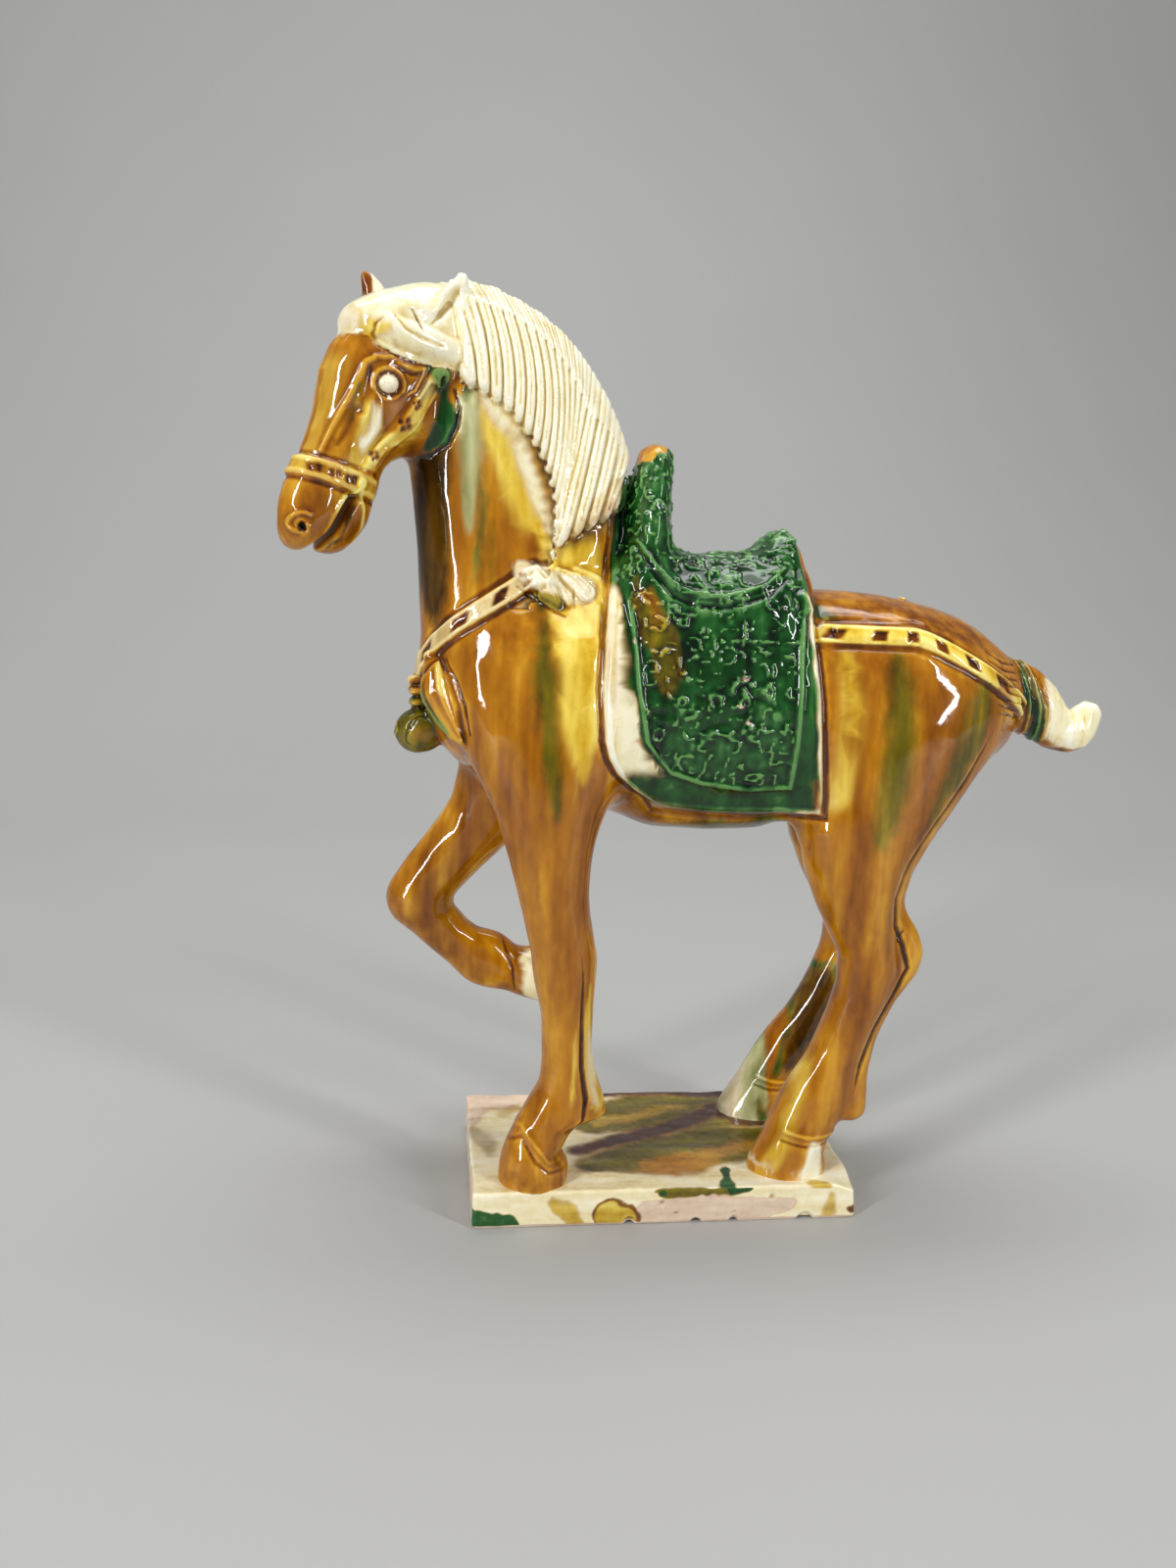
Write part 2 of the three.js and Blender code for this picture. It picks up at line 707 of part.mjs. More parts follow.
// The mane is combed down from the crest: each lock is a ridge that bows to the tail and ends in a point.
// A panel of ridge and groove lines lies on each side of the neck and goes down into it.
function manePanel(near) {
  const side = near ? -1 : 1;
  const lines = 2 * MANE_LOCKS + 1;
  const rows = 6;
  const arcFrom = Math.atan2(248.5 - MANE_ARC.z, -68 - MANE_ARC.x);
  const arcTo = Math.atan2(204 - MANE_ARC.z, -41 - MANE_ARC.x);
  const arcShare = 0.78;
  const outer = [];
  const inner = [];
  for (let n = 0; n < lines; n++) {
    const ridge = n % 2 === 1;
    const share = n / (lines - 1);
    const topX = MANE_FRONT_X + share * (MANE_REAR_X - MANE_FRONT_X);
    const top = meets(neckField, new THREE.Vector3(topX, -1, 300), new THREE.Vector3(0, 0, -1), 150);
    const tip = new THREE.Vector2();
    if (share < arcShare) {
      const angle = arcFrom + (share / arcShare) * (arcTo - arcFrom);
      tip.set(MANE_ARC.x + MANE_ARC.radius * Math.cos(angle), MANE_ARC.z + MANE_ARC.radius * Math.sin(angle));
    } else {
      const t = (share - arcShare) / (1 - arcShare);
      tip.set(-41 + t * (MANE_HEM_X + 41), 204 + t * (MANE_HEM_Z - 204));
    }
    const bow = 5 * Math.sin(Math.PI * Math.min(share * 1.3, 1)) + 1.5;
    const line = new THREE.QuadraticBezierCurve(
      tip,
      new THREE.Vector2((tip.x + topX) / 2 + bow, (tip.y + top.z) / 2),
      new THREE.Vector2(topX, top.z),
    );
    const shorter = ridge ? 0 : 0.07;
    for (let k = 0; k < rows; k++) {
      const t = shorter + (1 - shorter) * (k / (rows - 1));
      const p = line.getPoint(t);
      const from = new THREE.Vector3(p.x, side * 45, p.y);
      const base = k === rows - 1 ? top.clone() : meets(neckField, from, new THREE.Vector3(0, -side, 0), 60);
      const skin = base ?? top.clone();
      const out = outward(neckField, skin);
      const fade = 1 - (k / (rows - 1)) ** 2;
      const proud = MANE_THICK + (ridge ? LOCK_RELIEF * (k === 0 ? 0.2 : fade) : 0);
      outer.push(skin.clone().addScaledVector(out, proud).toArray());
      inner.push(skin.clone().addScaledVector(out, -3).toArray());
    }
  }
  const at = (n, k) => n * rows + k;
  const shift = outer.length;
  const faces = [];
  for (let n = 0; n + 1 < lines; n++) {
    for (let k = 0; k + 1 < rows; k++) {
      const quad = [at(n, k), at(n + 1, k), at(n + 1, k + 1), at(n, k + 1)];
      faces.push([quad[0], quad[1], quad[2]], [quad[0], quad[2], quad[3]]);
      const back = quad.map((v) => v + shift);
      faces.push([back[0], back[2], back[1]], [back[0], back[3], back[2]]);
    }
  }
  const wall = (a, b) => faces.push([a, a + shift, b + shift], [a, b + shift, b]);
  for (let n = 0; n + 1 < lines; n++) {
    wall(at(n, 0), at(n + 1, 0));
    wall(at(n + 1, rows - 1), at(n, rows - 1));
  }
  for (let k = 0; k + 1 < rows; k++) {
    wall(at(0, k + 1), at(0, k));
    wall(at(lines - 1, k), at(lines - 1, k + 1));
  }
  return solidOf(facingOut({ points: [...outer, ...inner], faces }));
}

// Ears: hollow leaves. The near one is laid back, the far one stands forward.
function ear(s, lean, tipU, tipZ) {
  const leaf = headLimb([
    [lean + 3, s, tipZ - 18, 6.5, 4.2],
    [lean + 1, s * 1.15, tipZ - 10, 5.4, 3.6],
    [(lean + tipU) / 2, s * 1.25, tipZ - 4, 3.8, 2.8],
    [tipU, s * 1.3, tipZ, 2, 1.8],
  ]);
  const hollow = headLimb([
    [lean + 2, s * 1.45, tipZ - 11.5, 3.8, 3],
    [(lean + tipU) / 2 + 0.4, s * 1.5, tipZ - 4, 2, 2],
  ]);
  const field = (x, y, z) => cutTo(leaf(x, y, z), -hollow(x, y, z), 0.6);
  const [low, high] = headBox(lean - 12, lean + 14, s * 1.3 - 9, s * 1.3 + 9, 248, 284);
  return smallForm(field, low, high, 0.8, 150);
}

function headBox(u0, u1, s0, s1, z0, z1) {
  const box = new THREE.Box3();
  for (const u of [u0, u1]) {
    for (const s of [s0, s1]) {
      box.expandByPoint(headPoint(u, s, z0));
      box.expandByPoint(headPoint(u, s, z1));
    }
  }
  return [box.min.toArray(), box.max.toArray()];
}

// A thick lock of the forelock is drawn back over each brow, under the ear
function browLock(s) {
  const lock = headLimb([
    [24.5, 0.1 * s, 261.5, 4.2, 5],
    [21.5, 0.8 * s, 260.5, 4.6, 4.6],
    [12, 1.2 * s, 258, 4.4, 4],
    [1, 1.3 * s, 256, 4, 3.4],
  ]);
  const [low, high] = headBox(-6, 34, Math.min(0, s) * 1.6 - 5, Math.max(0, s) * 1.6 + 5, 249, 272);
  return smallForm(lock, low, high, 0.9, 130);
}

// Eye: a ball in a ring of lids
function eye(s) {
  const ball = headLimb([[20.5, s, 245.2, 3.3, 3.3], [21, s, 245.3, 3.3, 3.3]], 1);
  const [low, high] = headBox(14, 28, s - 6, s + 6, 239, 252);
  return smallForm(ball, low, high, 0.7, 70);
}

// The noseband goes round the muzzle, and a cheek strap joins it to the rosette behind the eye
const NOSEBAND = { u: 33, z: 220, tilt: THREE.MathUtils.degToRad(14), half: 2.9 };
function noseband() {
  const normal = FORWARD.clone().multiplyScalar(Math.sin(NOSEBAND.tilt));
  normal.z = -Math.cos(NOSEBAND.tilt);
  const middle = headPoint(NOSEBAND.u, 0, NOSEBAND.z);
  const field = (x, y, z) => {
    const across = (x - middle.x) * normal.x + (y - middle.y) * normal.y + (z - middle.z) * normal.z;
    const grown = joined(skull(x, y, z), lowerJaw(x, y, z), JOIN_HEAD) - 0.6;
    return cutTo(grown, Math.abs(across) - NOSEBAND.half, 0.4);
  };
  const [low, high] = headBox(14, 54, -14, 14, 207, 233);
  return smallForm(field, low, high, 0.9, 260);
}

function cheekStrap(s) {
  const turns = [[26, 221], [22.5, 226.5], [17.5, 233], [13.5, 238], [10, 244.5], [6, 249.5]];
  const path = turns.map(([u, z]) => {
    const from = headPoint(u, 30 * s, z);
    return meets(headField, from, LEFT.clone().multiplyScalar(-s), 60);
  });
  return strap(headField, path, 4.2, 0.9);
}

function rosette(s) {
  const p = meets(headField, headPoint(4.7, 30 * s, 250), LEFT.clone().multiplyScalar(-s), 60);
  const field = (x, y, z) => Math.hypot((x - p.x) * 0.9, y - p.y, z - p.z) - 3.4;
  return smallForm(field, p.clone().addScalar(-6).toArray(), p.clone().addScalar(6).toArray(), 0.8, 80);
}

const bareField = (x, y, z) => joined(bodyField(x, y, z), neckField(x, y, z), JOIN_NECK);

// The breast strap runs round the chest and the crupper round the rump. Both fall away from the saddle.
function breastStrap() {
  const path = [];
  for (let a = 18; a >= -198; a -= 12) {
    const fall = Math.min(Math.abs(a + 90) / 90, 1);
    const z = 163 + 33 * (1 - (1 - fall) ** 1.5);
    path.push(aroundAxis(bareField, -45, a, z));
  }
  return strap(bareField, path, STRAP_WIDTH, STRAP_THICK);
}

function crupper(side) {
  const path = [];
  for (let a = -52; a <= 76; a += 8) {
    const t = Math.max(a + 10, 0) / 86;
    const angle = side > 0 ? 180 - a : a;
    path.push(aroundAxis(bareField, 70, angle, 182.5 - 22 * t ** 1.5));
  }
  return strap(bareField, path, STRAP_WIDTH, STRAP_THICK);
}

// Pendants under the breast strap: a leaf on each side of the chest, and a ribbed bell in the middle
function pendant(points, step, triangles) {
  const field = limb(points, { steps: 2 });
  const box = new THREE.Box3();
  for (const [x, y, z, d, w] of points) {
    const r = Math.max(d, w) + 2;
    box.expandByPoint(new THREE.Vector3(x - r, y - r, z - r));
    box.expandByPoint(new THREE.Vector3(x + r, y + r, z + r));
  }
  return smallForm(field, box.min.toArray(), box.max.toArray(), step, triangles);
}

function chestBell() {
  const ribs = [0, 1, 2].map((i) => pendant([
    [-79, -1, 163.5 - 3.4 * i, 1.6, 5 + 0.9 * i],
    [-81, -1, 163.2 - 3.4 * i, 1.6, 5 + 0.9 * i],
  ], 0.8, 60));
  const ball = pendant([[-78, -1, 148, 7.2, 7.5], [-79.5, -1, 147.5, 7, 7.2]], 0.9, 150);
  return ribs.reduce((all, rib) => all.add(rib), ball);
}

function leafPendant(side) {
  const turn = (degrees) => (side < 0 ? degrees : -180 - degrees);
  const p = aroundAxis(bareField, -45, turn(-68), 171);
  const q = aroundAxis(bareField, -45, turn(-48), 147);
  const mid = p.clone().lerp(q, 0.4);
  return pendant([
    [p.x, p.y, p.z, 2.6, 2.6],
    [mid.x - 0.8, mid.y * 1.05, mid.z, 5.4, 3.8],
    [q.x, q.y, q.z, 1.6, 1.8],
  ], 0.8, 110);
}

// A knotted tassel hangs off the breast strap at each shoulder, with two ribbon ends behind it
function strapTassel(side) {
  const turn = (degrees) => (side < 0 ? degrees : -180 - degrees);
  const knot = aroundAxis(bareField, -45, turn(-14), 197);
  const end = aroundAxis(bareField, -45, turn(10), 187);
  const body = pendant([
    [knot.x, knot.y, knot.z, 2.8, 2.4],
    [knot.x * 0.6 + end.x * 0.4, knot.y * 0.6 + end.y * 0.4 + side * 0.6, 193.4, 3.4, 2.8],
    [end.x, end.y, end.z, 2.2, 2],
  ], 0.8, 110);
  const ribbons = [[-35, 197, -28.5, 194.5], [-37, 195, -32.5, 190.5]].map(([x0, z0, x1, z1]) => {
    const [p, q] = [[x0, z0], [x1, z1]].map(([x, z]) => {
      return meets(bareField, new THREE.Vector3(x, side * 45, z), new THREE.Vector3(0, -side, 0), 60);
    });
    return pendant([[p.x, p.y, p.z, 1.8, 1.4], [q.x, q.y, q.z, 2.6, 1.4]], 0.8, 60);
  });
  return ribbons.reduce((all, ribbon) => all.add(ribbon), body);
}

function slab() {
  const halfLength = SLAB_LENGTH / 2 - SLAB_EDGE;
  const halfDepth = SLAB_DEPTH / 2 - SLAB_EDGE;
  const shape = new THREE.Shape();
  shape.moveTo(-halfLength, -halfDepth);
  shape.lineTo(halfLength, -halfDepth);
  shape.lineTo(halfLength, halfDepth);
  shape.lineTo(-halfLength, halfDepth);
  shape.closePath();
  const geometry = new THREE.ExtrudeGeometry(shape, {
    depth: SLAB_HEIGHT - 2 * SLAB_EDGE,
    bevelThickness: SLAB_EDGE,
    bevelSize: SLAB_EDGE,
    bevelSegments: 2,
  });
  geometry.translate(0, 0, SLAB_EDGE);
  return solidOfGeometry(geometry);
}

// Slivers where the forms run into each other are closed up
function meshOf(solid) {
  const { vertProperties, triVerts, numProp } = solid.getMesh();
  const points = [];
  for (let i = 0; i < vertProperties.length; i += numProp) {
    points.push([...vertProperties.subarray(i, i + 3)]);
  }
  const faces = [];
  for (let i = 0; i < triVerts.length; i += 3) faces.push([...triVerts.subarray(i, i + 3)]);
  return { points, faces };
}

// Where two sheets only touch at a point, each is drawn back a hair
function drawnApart({ points, faces }) {
  const normal = points.map(() => new THREE.Vector3());
  for (const [a, b, c] of faces) {
    const [p, q, r] = [a, b, c].map((v) => new THREE.Vector3(...points[v]));
    const n = q.sub(p).cross(r.sub(p));
    for (const v of [a, b, c]) normal[v].add(n);
  }
  const seen = new Map();
  points.forEach((p, i) => {
    const key = p.map((k) => k.toFixed(3)).join();
    seen.set(key, [...(seen.get(key) ?? []), i]);
  });
  for (const same of seen.values()) {
    if (same.length < 2) continue;
    for (const v of same) {
      const back = normal[v].normalize().multiplyScalar(-HAIR).toArray();
      points[v] = points[v].map((k, c) => k + back[c]);
    }
  }
  return { points, faces };
}

const fineness = ([x, , z]) => (z > 195 && x < -70 ? HEAD_FINENESS : 1);
const grown = skinOf(wholeField, [-127, -42, 5], [146, 42, 286], SKIN_STEP);
const skin = thinned(grown, SKIN_TRIANGLES, fineness);
const pieces = [
  solidOf(skin),
  slab(),
  manePanel(true),
  manePanel(false),
  ear(9, 2, -1, 275.5),
  ear(-9, 12, 16.5, 277),
  browLock(9),
  browLock(-9),
  eye(10.6),
  eye(-10.6),
  noseband(),
  cheekStrap(1),
  cheekStrap(-1),
  rosette(1),
  rosette(-1),
  breastStrap(),
  crupper(-1),
  crupper(1),
  chestBell(),
  leafPendant(-1),
  leafPendant(1),
  strapTassel(-1),
  strapTassel(1),
];
const figure = pieces.reduce((all, piece) => all.add(piece));
const finished = drawnApart(thinned(meshOf(figure), FIGURE_TRIANGLES, fineness));
const geometry = new THREE.BufferGeometry();
geometry.setAttribute("position", new THREE.Float32BufferAttribute(finished.points.flat(), 3));
geometry.setIndex(finished.faces.flat());
geometry.computeVertexNormals();

const horse = new THREE.Mesh(geometry, new THREE.MeshStandardMaterial(GLAZE));
horse.name = "horse_figure";
const group = new THREE.Group();
group.add(horse);
export default group;
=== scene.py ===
import math

import bpy
import numpy as np
from mathutils import Matrix, Vector


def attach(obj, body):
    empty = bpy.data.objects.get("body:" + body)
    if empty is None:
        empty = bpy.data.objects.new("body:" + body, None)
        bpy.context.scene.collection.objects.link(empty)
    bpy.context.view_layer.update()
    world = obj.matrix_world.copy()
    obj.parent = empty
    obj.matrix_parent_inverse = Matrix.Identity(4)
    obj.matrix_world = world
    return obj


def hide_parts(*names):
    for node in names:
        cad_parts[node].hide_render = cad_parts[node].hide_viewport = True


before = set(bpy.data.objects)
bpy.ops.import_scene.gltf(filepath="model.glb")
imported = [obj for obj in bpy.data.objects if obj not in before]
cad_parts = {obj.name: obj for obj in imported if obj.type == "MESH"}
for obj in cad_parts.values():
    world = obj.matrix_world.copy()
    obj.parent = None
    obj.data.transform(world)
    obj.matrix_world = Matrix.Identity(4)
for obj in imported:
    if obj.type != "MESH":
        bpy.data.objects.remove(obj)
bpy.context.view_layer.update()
bpy.ops.object.select_all(action="DESELECT")

# The camera looks at the near flank from a little in front and a little above the withers.
# Its place and its slight roll come from the corners of the slab, the lens from the whole frame.
eye_point = Vector((-0.075554, -0.359912, 0.2005))
look_along = Vector((0.13335, 0.97346, -0.18601))
look_right = Vector((0.99089, -0.12738, 0.04371))
look_up = Vector((-0.01886, 0.19014, 0.98157))
bpy.ops.object.camera_add(location=eye_point)
camera = bpy.context.object
camera.name = "camera"
camera.matrix_world = Matrix.Translation(eye_point) @ Matrix(
    (look_right, look_up, -look_along)
).transposed().to_4x4()
camera.data.sensor_width = 36
camera.data.lens = 27.045
camera.data.clip_start = 0.01
bpy.context.scene.camera = camera
bpy.context.scene.view_settings.view_transform = "Standard"

# The figure stands on a plain pale grey table whose far side sweeps up into a wall.
bpy.ops.object.select_all(action="DESELECT")
bpy.ops.mesh.primitive_plane_add(size=5, location=(0, -0.9, 0))
floor = bpy.context.object
floor.name = "floor"
bpy.ops.object.transform_apply(location=True)
bpy.ops.object.mode_set(mode="EDIT")
bpy.ops.mesh.select_mode(type="EDGE")
bpy.ops.mesh.select_all(action="DESELECT")
bpy.ops.object.mode_set(mode="OBJECT")
for edge in floor.data.edges:
    edge.select = all(floor.data.vertices[v].co.y > 1 for v in edge.vertices)
bpy.ops.object.mode_set(mode="EDIT")
bpy.ops.mesh.extrude_region_move(TRANSFORM_OT_translate={"value": (0, 0, 3)})
bpy.ops.mesh.select_all(action="DESELECT")
bpy.ops.object.mode_set(mode="OBJECT")
for edge in floor.data.edges:
    edge.select = all(
        floor.data.vertices[v].co.y > 1 and floor.data.vertices[v].co.z < 0.1
        for v in edge.vertices
    )
bpy.ops.object.mode_set(mode="EDIT")
bpy.ops.mesh.bevel(offset=1.1, segments=24, affect="EDGES")
bpy.ops.object.mode_set(mode="OBJECT")
bpy.ops.object.shade_smooth()


def linear(red, green, blue):
    """A colour given in the 0 to 255 steps of a colour chart, as light"""
    steps = [c / 255 for c in (red, green, blue)]
    return tuple(s / 12.92 if s < 0.04045 else ((s + 0.055) / 1.055) ** 2.4 for s in steps) + (1,)


class Wire:
    """A socket of a material. Arithmetic on wires adds the nodes that work it out."""

    tree = None

    def __init__(self, socket):
        self.socket = socket

    @classmethod
    def node(cls, kind, settings=None, sockets=None, output=0):
        made = cls.tree.nodes.new(kind)
        for name, value in (settings or {}).items():
            if name == "stops":
                ramp = made.color_ramp
                while len(ramp.elements) < len(value):
                    ramp.elements.new(0.5)
                for stop, (place, colour) in zip(ramp.elements, value):
                    stop.position = place
                    stop.color = colour
            else:
                setattr(made, name, value)
        for name, value in (sockets or {}).items():
            if isinstance(value, Wire):
                cls.tree.links.new(value.socket, made.inputs[name])
            else:
                made.inputs[name].default_value = value
        return cls(made.outputs[output])

    def maths(self, operation, first, second=0.0, clamp=False):
        settings = {"operation": operation, "use_clamp": clamp}
        return Wire.node("ShaderNodeMath", settings, {0: first, 1: second})

    def __add__(self, other):
        return self.maths("ADD", self, other)

    def __radd__(self, other):
        return self.maths("ADD", other, self)

    def __sub__(self, other):
        return self.maths("SUBTRACT", self, other)

    def __rsub__(self, other):
        return self.maths("SUBTRACT", other, self)

    def __mul__(self, other):
        return self.maths("MULTIPLY", self, other)

    def __rmul__(self, other):
        return self.maths("MULTIPLY", other, self)

    def __truediv__(self, other):
        return self.maths("DIVIDE", self, other)

    def __pow__(self, other):
        return self.maths("POWER", self, other)

    def step(self, low, high):
        """0 below low, 1 above high, and a soft slope between"""
        settings = {"interpolation_type": "SMOOTHSTEP"}
        sockets = {"Value": self, "From Min": low, "From Max": high}
        return Wire.node("ShaderNodeMapRange", settings, sockets)

    def mixed(self, first, second, blend="MIX"):
        """The first colour where this is 0, the second where it is 1"""
        settings = {"data_type": "RGBA", "blend_type": blend}
        return Wire.node("ShaderNodeMix", settings, {0: self, 6: first, 7: second}, 2)


def new_material(name):
    material = bpy.data.materials.new(name)
    material.use_nodes = True
    material.node_tree.nodes.clear()
    Wire.tree = material.node_tree
    return material


def surfaced(colour, roughness, normal=None, **constants):
    """Ends a material with its surface shader"""
    shader = Wire.tree.nodes.new("ShaderNodeBsdfPrincipled")
    for name, value in {"Base Color": colour, "Roughness": roughness, "Normal": normal}.items():
        if isinstance(value, Wire):
            Wire.tree.links.new(value.socket, shader.inputs[name])
        elif value is not None:
            shader.inputs[name].default_value = value
    for name, value in constants.items():
        shader.inputs[name.replace("_", " ")].default_value = value
    output = Wire.tree.nodes.new("ShaderNodeOutputMaterial")
    Wire.tree.links.new(shader.outputs[0], output.inputs[0])


floor_paint = new_material("table_grey")
place = Wire.node("ShaderNodeTexCoord", output=3)
mottle = Wire.node("ShaderNodeTexNoise", None, {"Vector": place, "Scale": 3.0, "Detail": 2.0})
surfaced(mottle.mixed(linear(172, 172, 170), linear(178, 178, 176)), 0.6)
floor.data.materials.append(floor_paint)

# Two tall narrow soft boxes in front, left and right of the figure, a broad one overhead, one on the wall behind,
# and a dim pale room
for name, spot, aim, size, power in [
    ("light_left", (-0.95, -0.75, 0.62), (0, 0, 0.14), (0.1, 1.1), 11.0),
    ("light_right", (0.9, -0.85, 0.6), (0, 0, 0.14), (0.08, 1.0), 8.0),
    ("light_top", (0.1, 0.1, 1.5), (0, 0, 0.14), (1.2, 0.9), 9.0),
    ("light_wall", (0, 0.5, 2.4), (0, 1.6, 0.7), (3.0, 0.8), 22.0),
]:
    turned = (Vector(spot) - Vector(aim)).to_track_quat("Z", "Y")
    bpy.ops.object.light_add(type="AREA", location=spot, rotation=turned.to_euler())
    lamp = bpy.context.object
    lamp.name = name
    lamp.data.shape = "RECTANGLE"
    lamp.data.size, lamp.data.size_y = size
    lamp.data.energy = power
room = bpy.data.worlds.new("room")
room.use_nodes = True
room.node_tree.nodes["Background"].inputs["Color"].default_value = (0.96, 0.98, 1, 1)
room.node_tree.nodes["Background"].inputs["Strength"].default_value = 0.2
bpy.context.scene.world = room

# The slab under the hooves: cut by hand from a sheet of clay, its edges rubbed and chipped.
# Cream, olive and plum glazes are flooded over it, and where they missed it the pinkish biscuit shows.
MM = 1000
SLAB_TOP = 12
SLAB_LENGTH, SLAB_DEPTH = 121.4, 68.0


def smooth(x):
    x = np.clip(x, 0, 1)
    return x * x * (3 - 2 * x)


def brush(p, q, path, soft, spread=0.0):
    """How much of a brush drawn along path reaches each point: rows of p, q, half width"""
    path = path if len(path) > 1 else [path[0], (path[0][0] + 0.1, *path[0][1:])]
    reach = np.full(p.shape, -1e9)
    for (p0, q0, w0), (p1, q1, w1) in zip(path, path[1:]):
        along = ((p - p0) * (p1 - p0) + (q - q0) * (q1 - q0)) / ((p1 - p0) ** 2 + (q1 - q0) ** 2)
        along = np.clip(along, 0, 1)
        gap = np.hypot(p - p0 - along * (p1 - p0), q - q0 - along * (q1 - q0))
        reach = np.maximum(reach, w0 + along * (w1 - w0) - gap)
    return smooth(reach / soft + spread)


def within(p, q, path, margin, where):
    """The points near a path, so that a brush need not look at all of them"""
    rows = np.array(path, float)
    low = rows[:, :2].min(0) - rows[:, 2].max() - margin
    high = rows[:, :2].max(0) + rows[:, 2].max() + margin
    return np.flatnonzero(where & (p > low[0]) & (p < high[0]) & (q > low[1]) & (q < high[1]))


class Clay:
    """The skin of a piece in millimetres, worked point by point, with the coats of glaze on it"""

    COATS = ("cream", "green", "olive", "yellow", "brown", "bare", "dark", "ash")

    def __init__(self, piece):
        mesh = piece.data
        self.piece = piece
        self.count = len(mesh.vertices)
        self.ends = np.empty(len(mesh.edges) * 2, np.int32)
        mesh.edges.foreach_get("vertices", self.ends)
        self.ends = self.ends.reshape(-1, 2)
        self.corners = np.empty(len(mesh.loops), np.int32)
        mesh.loops.foreach_get("vertex_index", self.corners)
        self.corners = self.corners.reshape(-1, 4)
        self.links = np.bincount(self.ends.ravel(), minlength=self.count)
        self.coats = {name: np.zeros(self.count) for name in self.COATS}
        self.settle(self.points())

    def points(self):
        flat = np.empty(self.count * 3, np.float32)
        self.piece.data.vertices.foreach_get("co", flat)
        return flat.reshape(-1, 3).astype(float) * MM

    def settle(self, skin):
        """Takes these points as the form that carving starts from"""
        self.skin = skin
        self.at = skin.T.copy()
        self.normal = self.outward(skin)

    def write(self):
        self.piece.data.vertices.foreach_set("co", (self.skin / MM).astype(np.float32).ravel())
        self.piece.data.update()

    def rubbed(self, points, rounds, share=0.5):
        """The points drawn towards their neighbours, as a wet sponge evens clay"""
        points = points.copy()
        for _ in range(rounds):
            for axis in range(3):
                value = points[:, axis]
                total = np.bincount(self.ends[:, 0], value[self.ends[:, 1]], self.count)
                total += np.bincount(self.ends[:, 1], value[self.ends[:, 0]], self.count)
                points[:, axis] += share * (total / self.links - value)
        return points

    def outward(self, points):
        one = points[self.corners[:, 2]] - points[self.corners[:, 0]]
        other = points[self.corners[:, 3]] - points[self.corners[:, 1]]
        face = np.cross(one, other)
        normal = np.stack([
            sum(np.bincount(self.corners[:, c], face[:, axis], self.count) for c in range(4))
            for axis in range(3)
        ], 1)
        return normal / np.maximum(np.linalg.norm(normal, axis=1, keepdims=True), 1e-12)

    def wander(self, size, seed, tall=1.0):
        """Cloud noise from 0 to 1 with lumps size mm across and tall times as high"""
        table = np.random.default_rng(seed).random((32, 32, 32))
        at = np.stack([self.at[0] / size, self.at[1] / size, self.at[2] / (size * tall)], 1) + 7.3 * seed
        low = np.floor(at).astype(int)
        t = smooth(at - low)
        total = 0
        for corner in range(8):
            shift = np.array([corner & 1, corner >> 1 & 1, corner >> 2 & 1])
            cell = (low + shift) % 32
            total = total + table[tuple(cell.T)] * np.prod(np.where(shift, t, 1 - t), axis=1)
        return total

    def lift(self, hit, height):
        self.skin[hit] += self.normal[hit] * height[:, None]

    def carve(self, height, p, q, path, soft, where):
        """Raises the skin under a brush, or with a height below zero cuts into it"""
        hit = within(p, q, path, 0, where)
        self.lift(hit, height * brush(p[hit], q[hit], path, soft))

    def cover(self, coat, hit, share):
        for name in self.coats:
            self.coats[name][hit] *= 1 - share
        self.coats[coat][hit] += share

    def glaze(self, coat, p, q, path, soft, where, amount=1.0):
        """Lays a coat of glaze under a brush, over what is there"""
        hit = within(p, q, path, soft, where)
        self.cover(coat, hit, amount * brush(p[hit], q[hit], path, soft, 0.5))

    def fired(self, triangles, reach):
        """Writes the carved skin and its coats back, and thins the mesh where it is plain"""
        pool = ((self.rubbed(self.skin, reach) - self.skin) * self.outward(self.skin)).sum(1)
        self.write()
        mesh = self.piece.data
        for name, parts in (("glaze_a", self.COATS[:4]), ("glaze_b", self.COATS[4:])):
            layer = mesh.attributes.new(name, "FLOAT_COLOR", "POINT")
            values = np.stack([np.clip(self.coats[part], 0, 1) for part in parts], 1)
            layer.data.foreach_set("color", values.astype(np.float32).ravel())
        layer = mesh.attributes.new("pool", "FLOAT", "POINT")
        layer.data.foreach_set("value", np.clip(pool * 1.6 + 0.5, 0, 1).astype(np.float32))
        thin = self.piece.modifiers.new("thin", "DECIMATE")
        thin.ratio = min(1, triangles / (2 * len(self.corners)))
        bpy.ops.object.modifier_apply(modifier="thin")
        bpy.ops.object.shade_smooth()
        print(self.piece.name, self.count, len(mesh.polygons))


def fine_skin(piece, grain):
    remesh = piece.modifiers.new("skin", "REMESH")
    remesh.mode = "VOXEL"
    remesh.voxel_size = grain / MM
    bpy.ops.object.modifier_apply(modifier="skin")
    return Clay(piece)


bpy.ops.object.select_all(action="DESELECT")
bpy.ops.mesh.primitive_cube_add(size=1, location=(0, 0, SLAB_TOP / 2 / MM))
slab = bpy.context.object
slab.name = "slab"
slab.scale = (SLAB_LENGTH / MM, SLAB_DEPTH / MM, SLAB_TOP / MM)
bpy.ops.object.transform_apply(location=True, scale=True)
bpy.ops.object.mode_set(mode="EDIT")
bpy.ops.mesh.select_all(action="SELECT")
bpy.ops.mesh.bevel(offset=0.9 / MM, segments=2, affect="EDGES")
bpy.ops.object.mode_set(mode="OBJECT")
clay = fine_skin(slab, 0.5)
clay.settle(clay.rubbed(clay.skin, 4))
X, Y, Z = clay.at
rough = (clay.wander(9, 21) - 0.5) + 0.5 * (clay.wander(3, 22) - 0.5)
clay.lift(np.arange(clay.count), (-0.35 + 0.6 * rough) * (Z > 0.3))
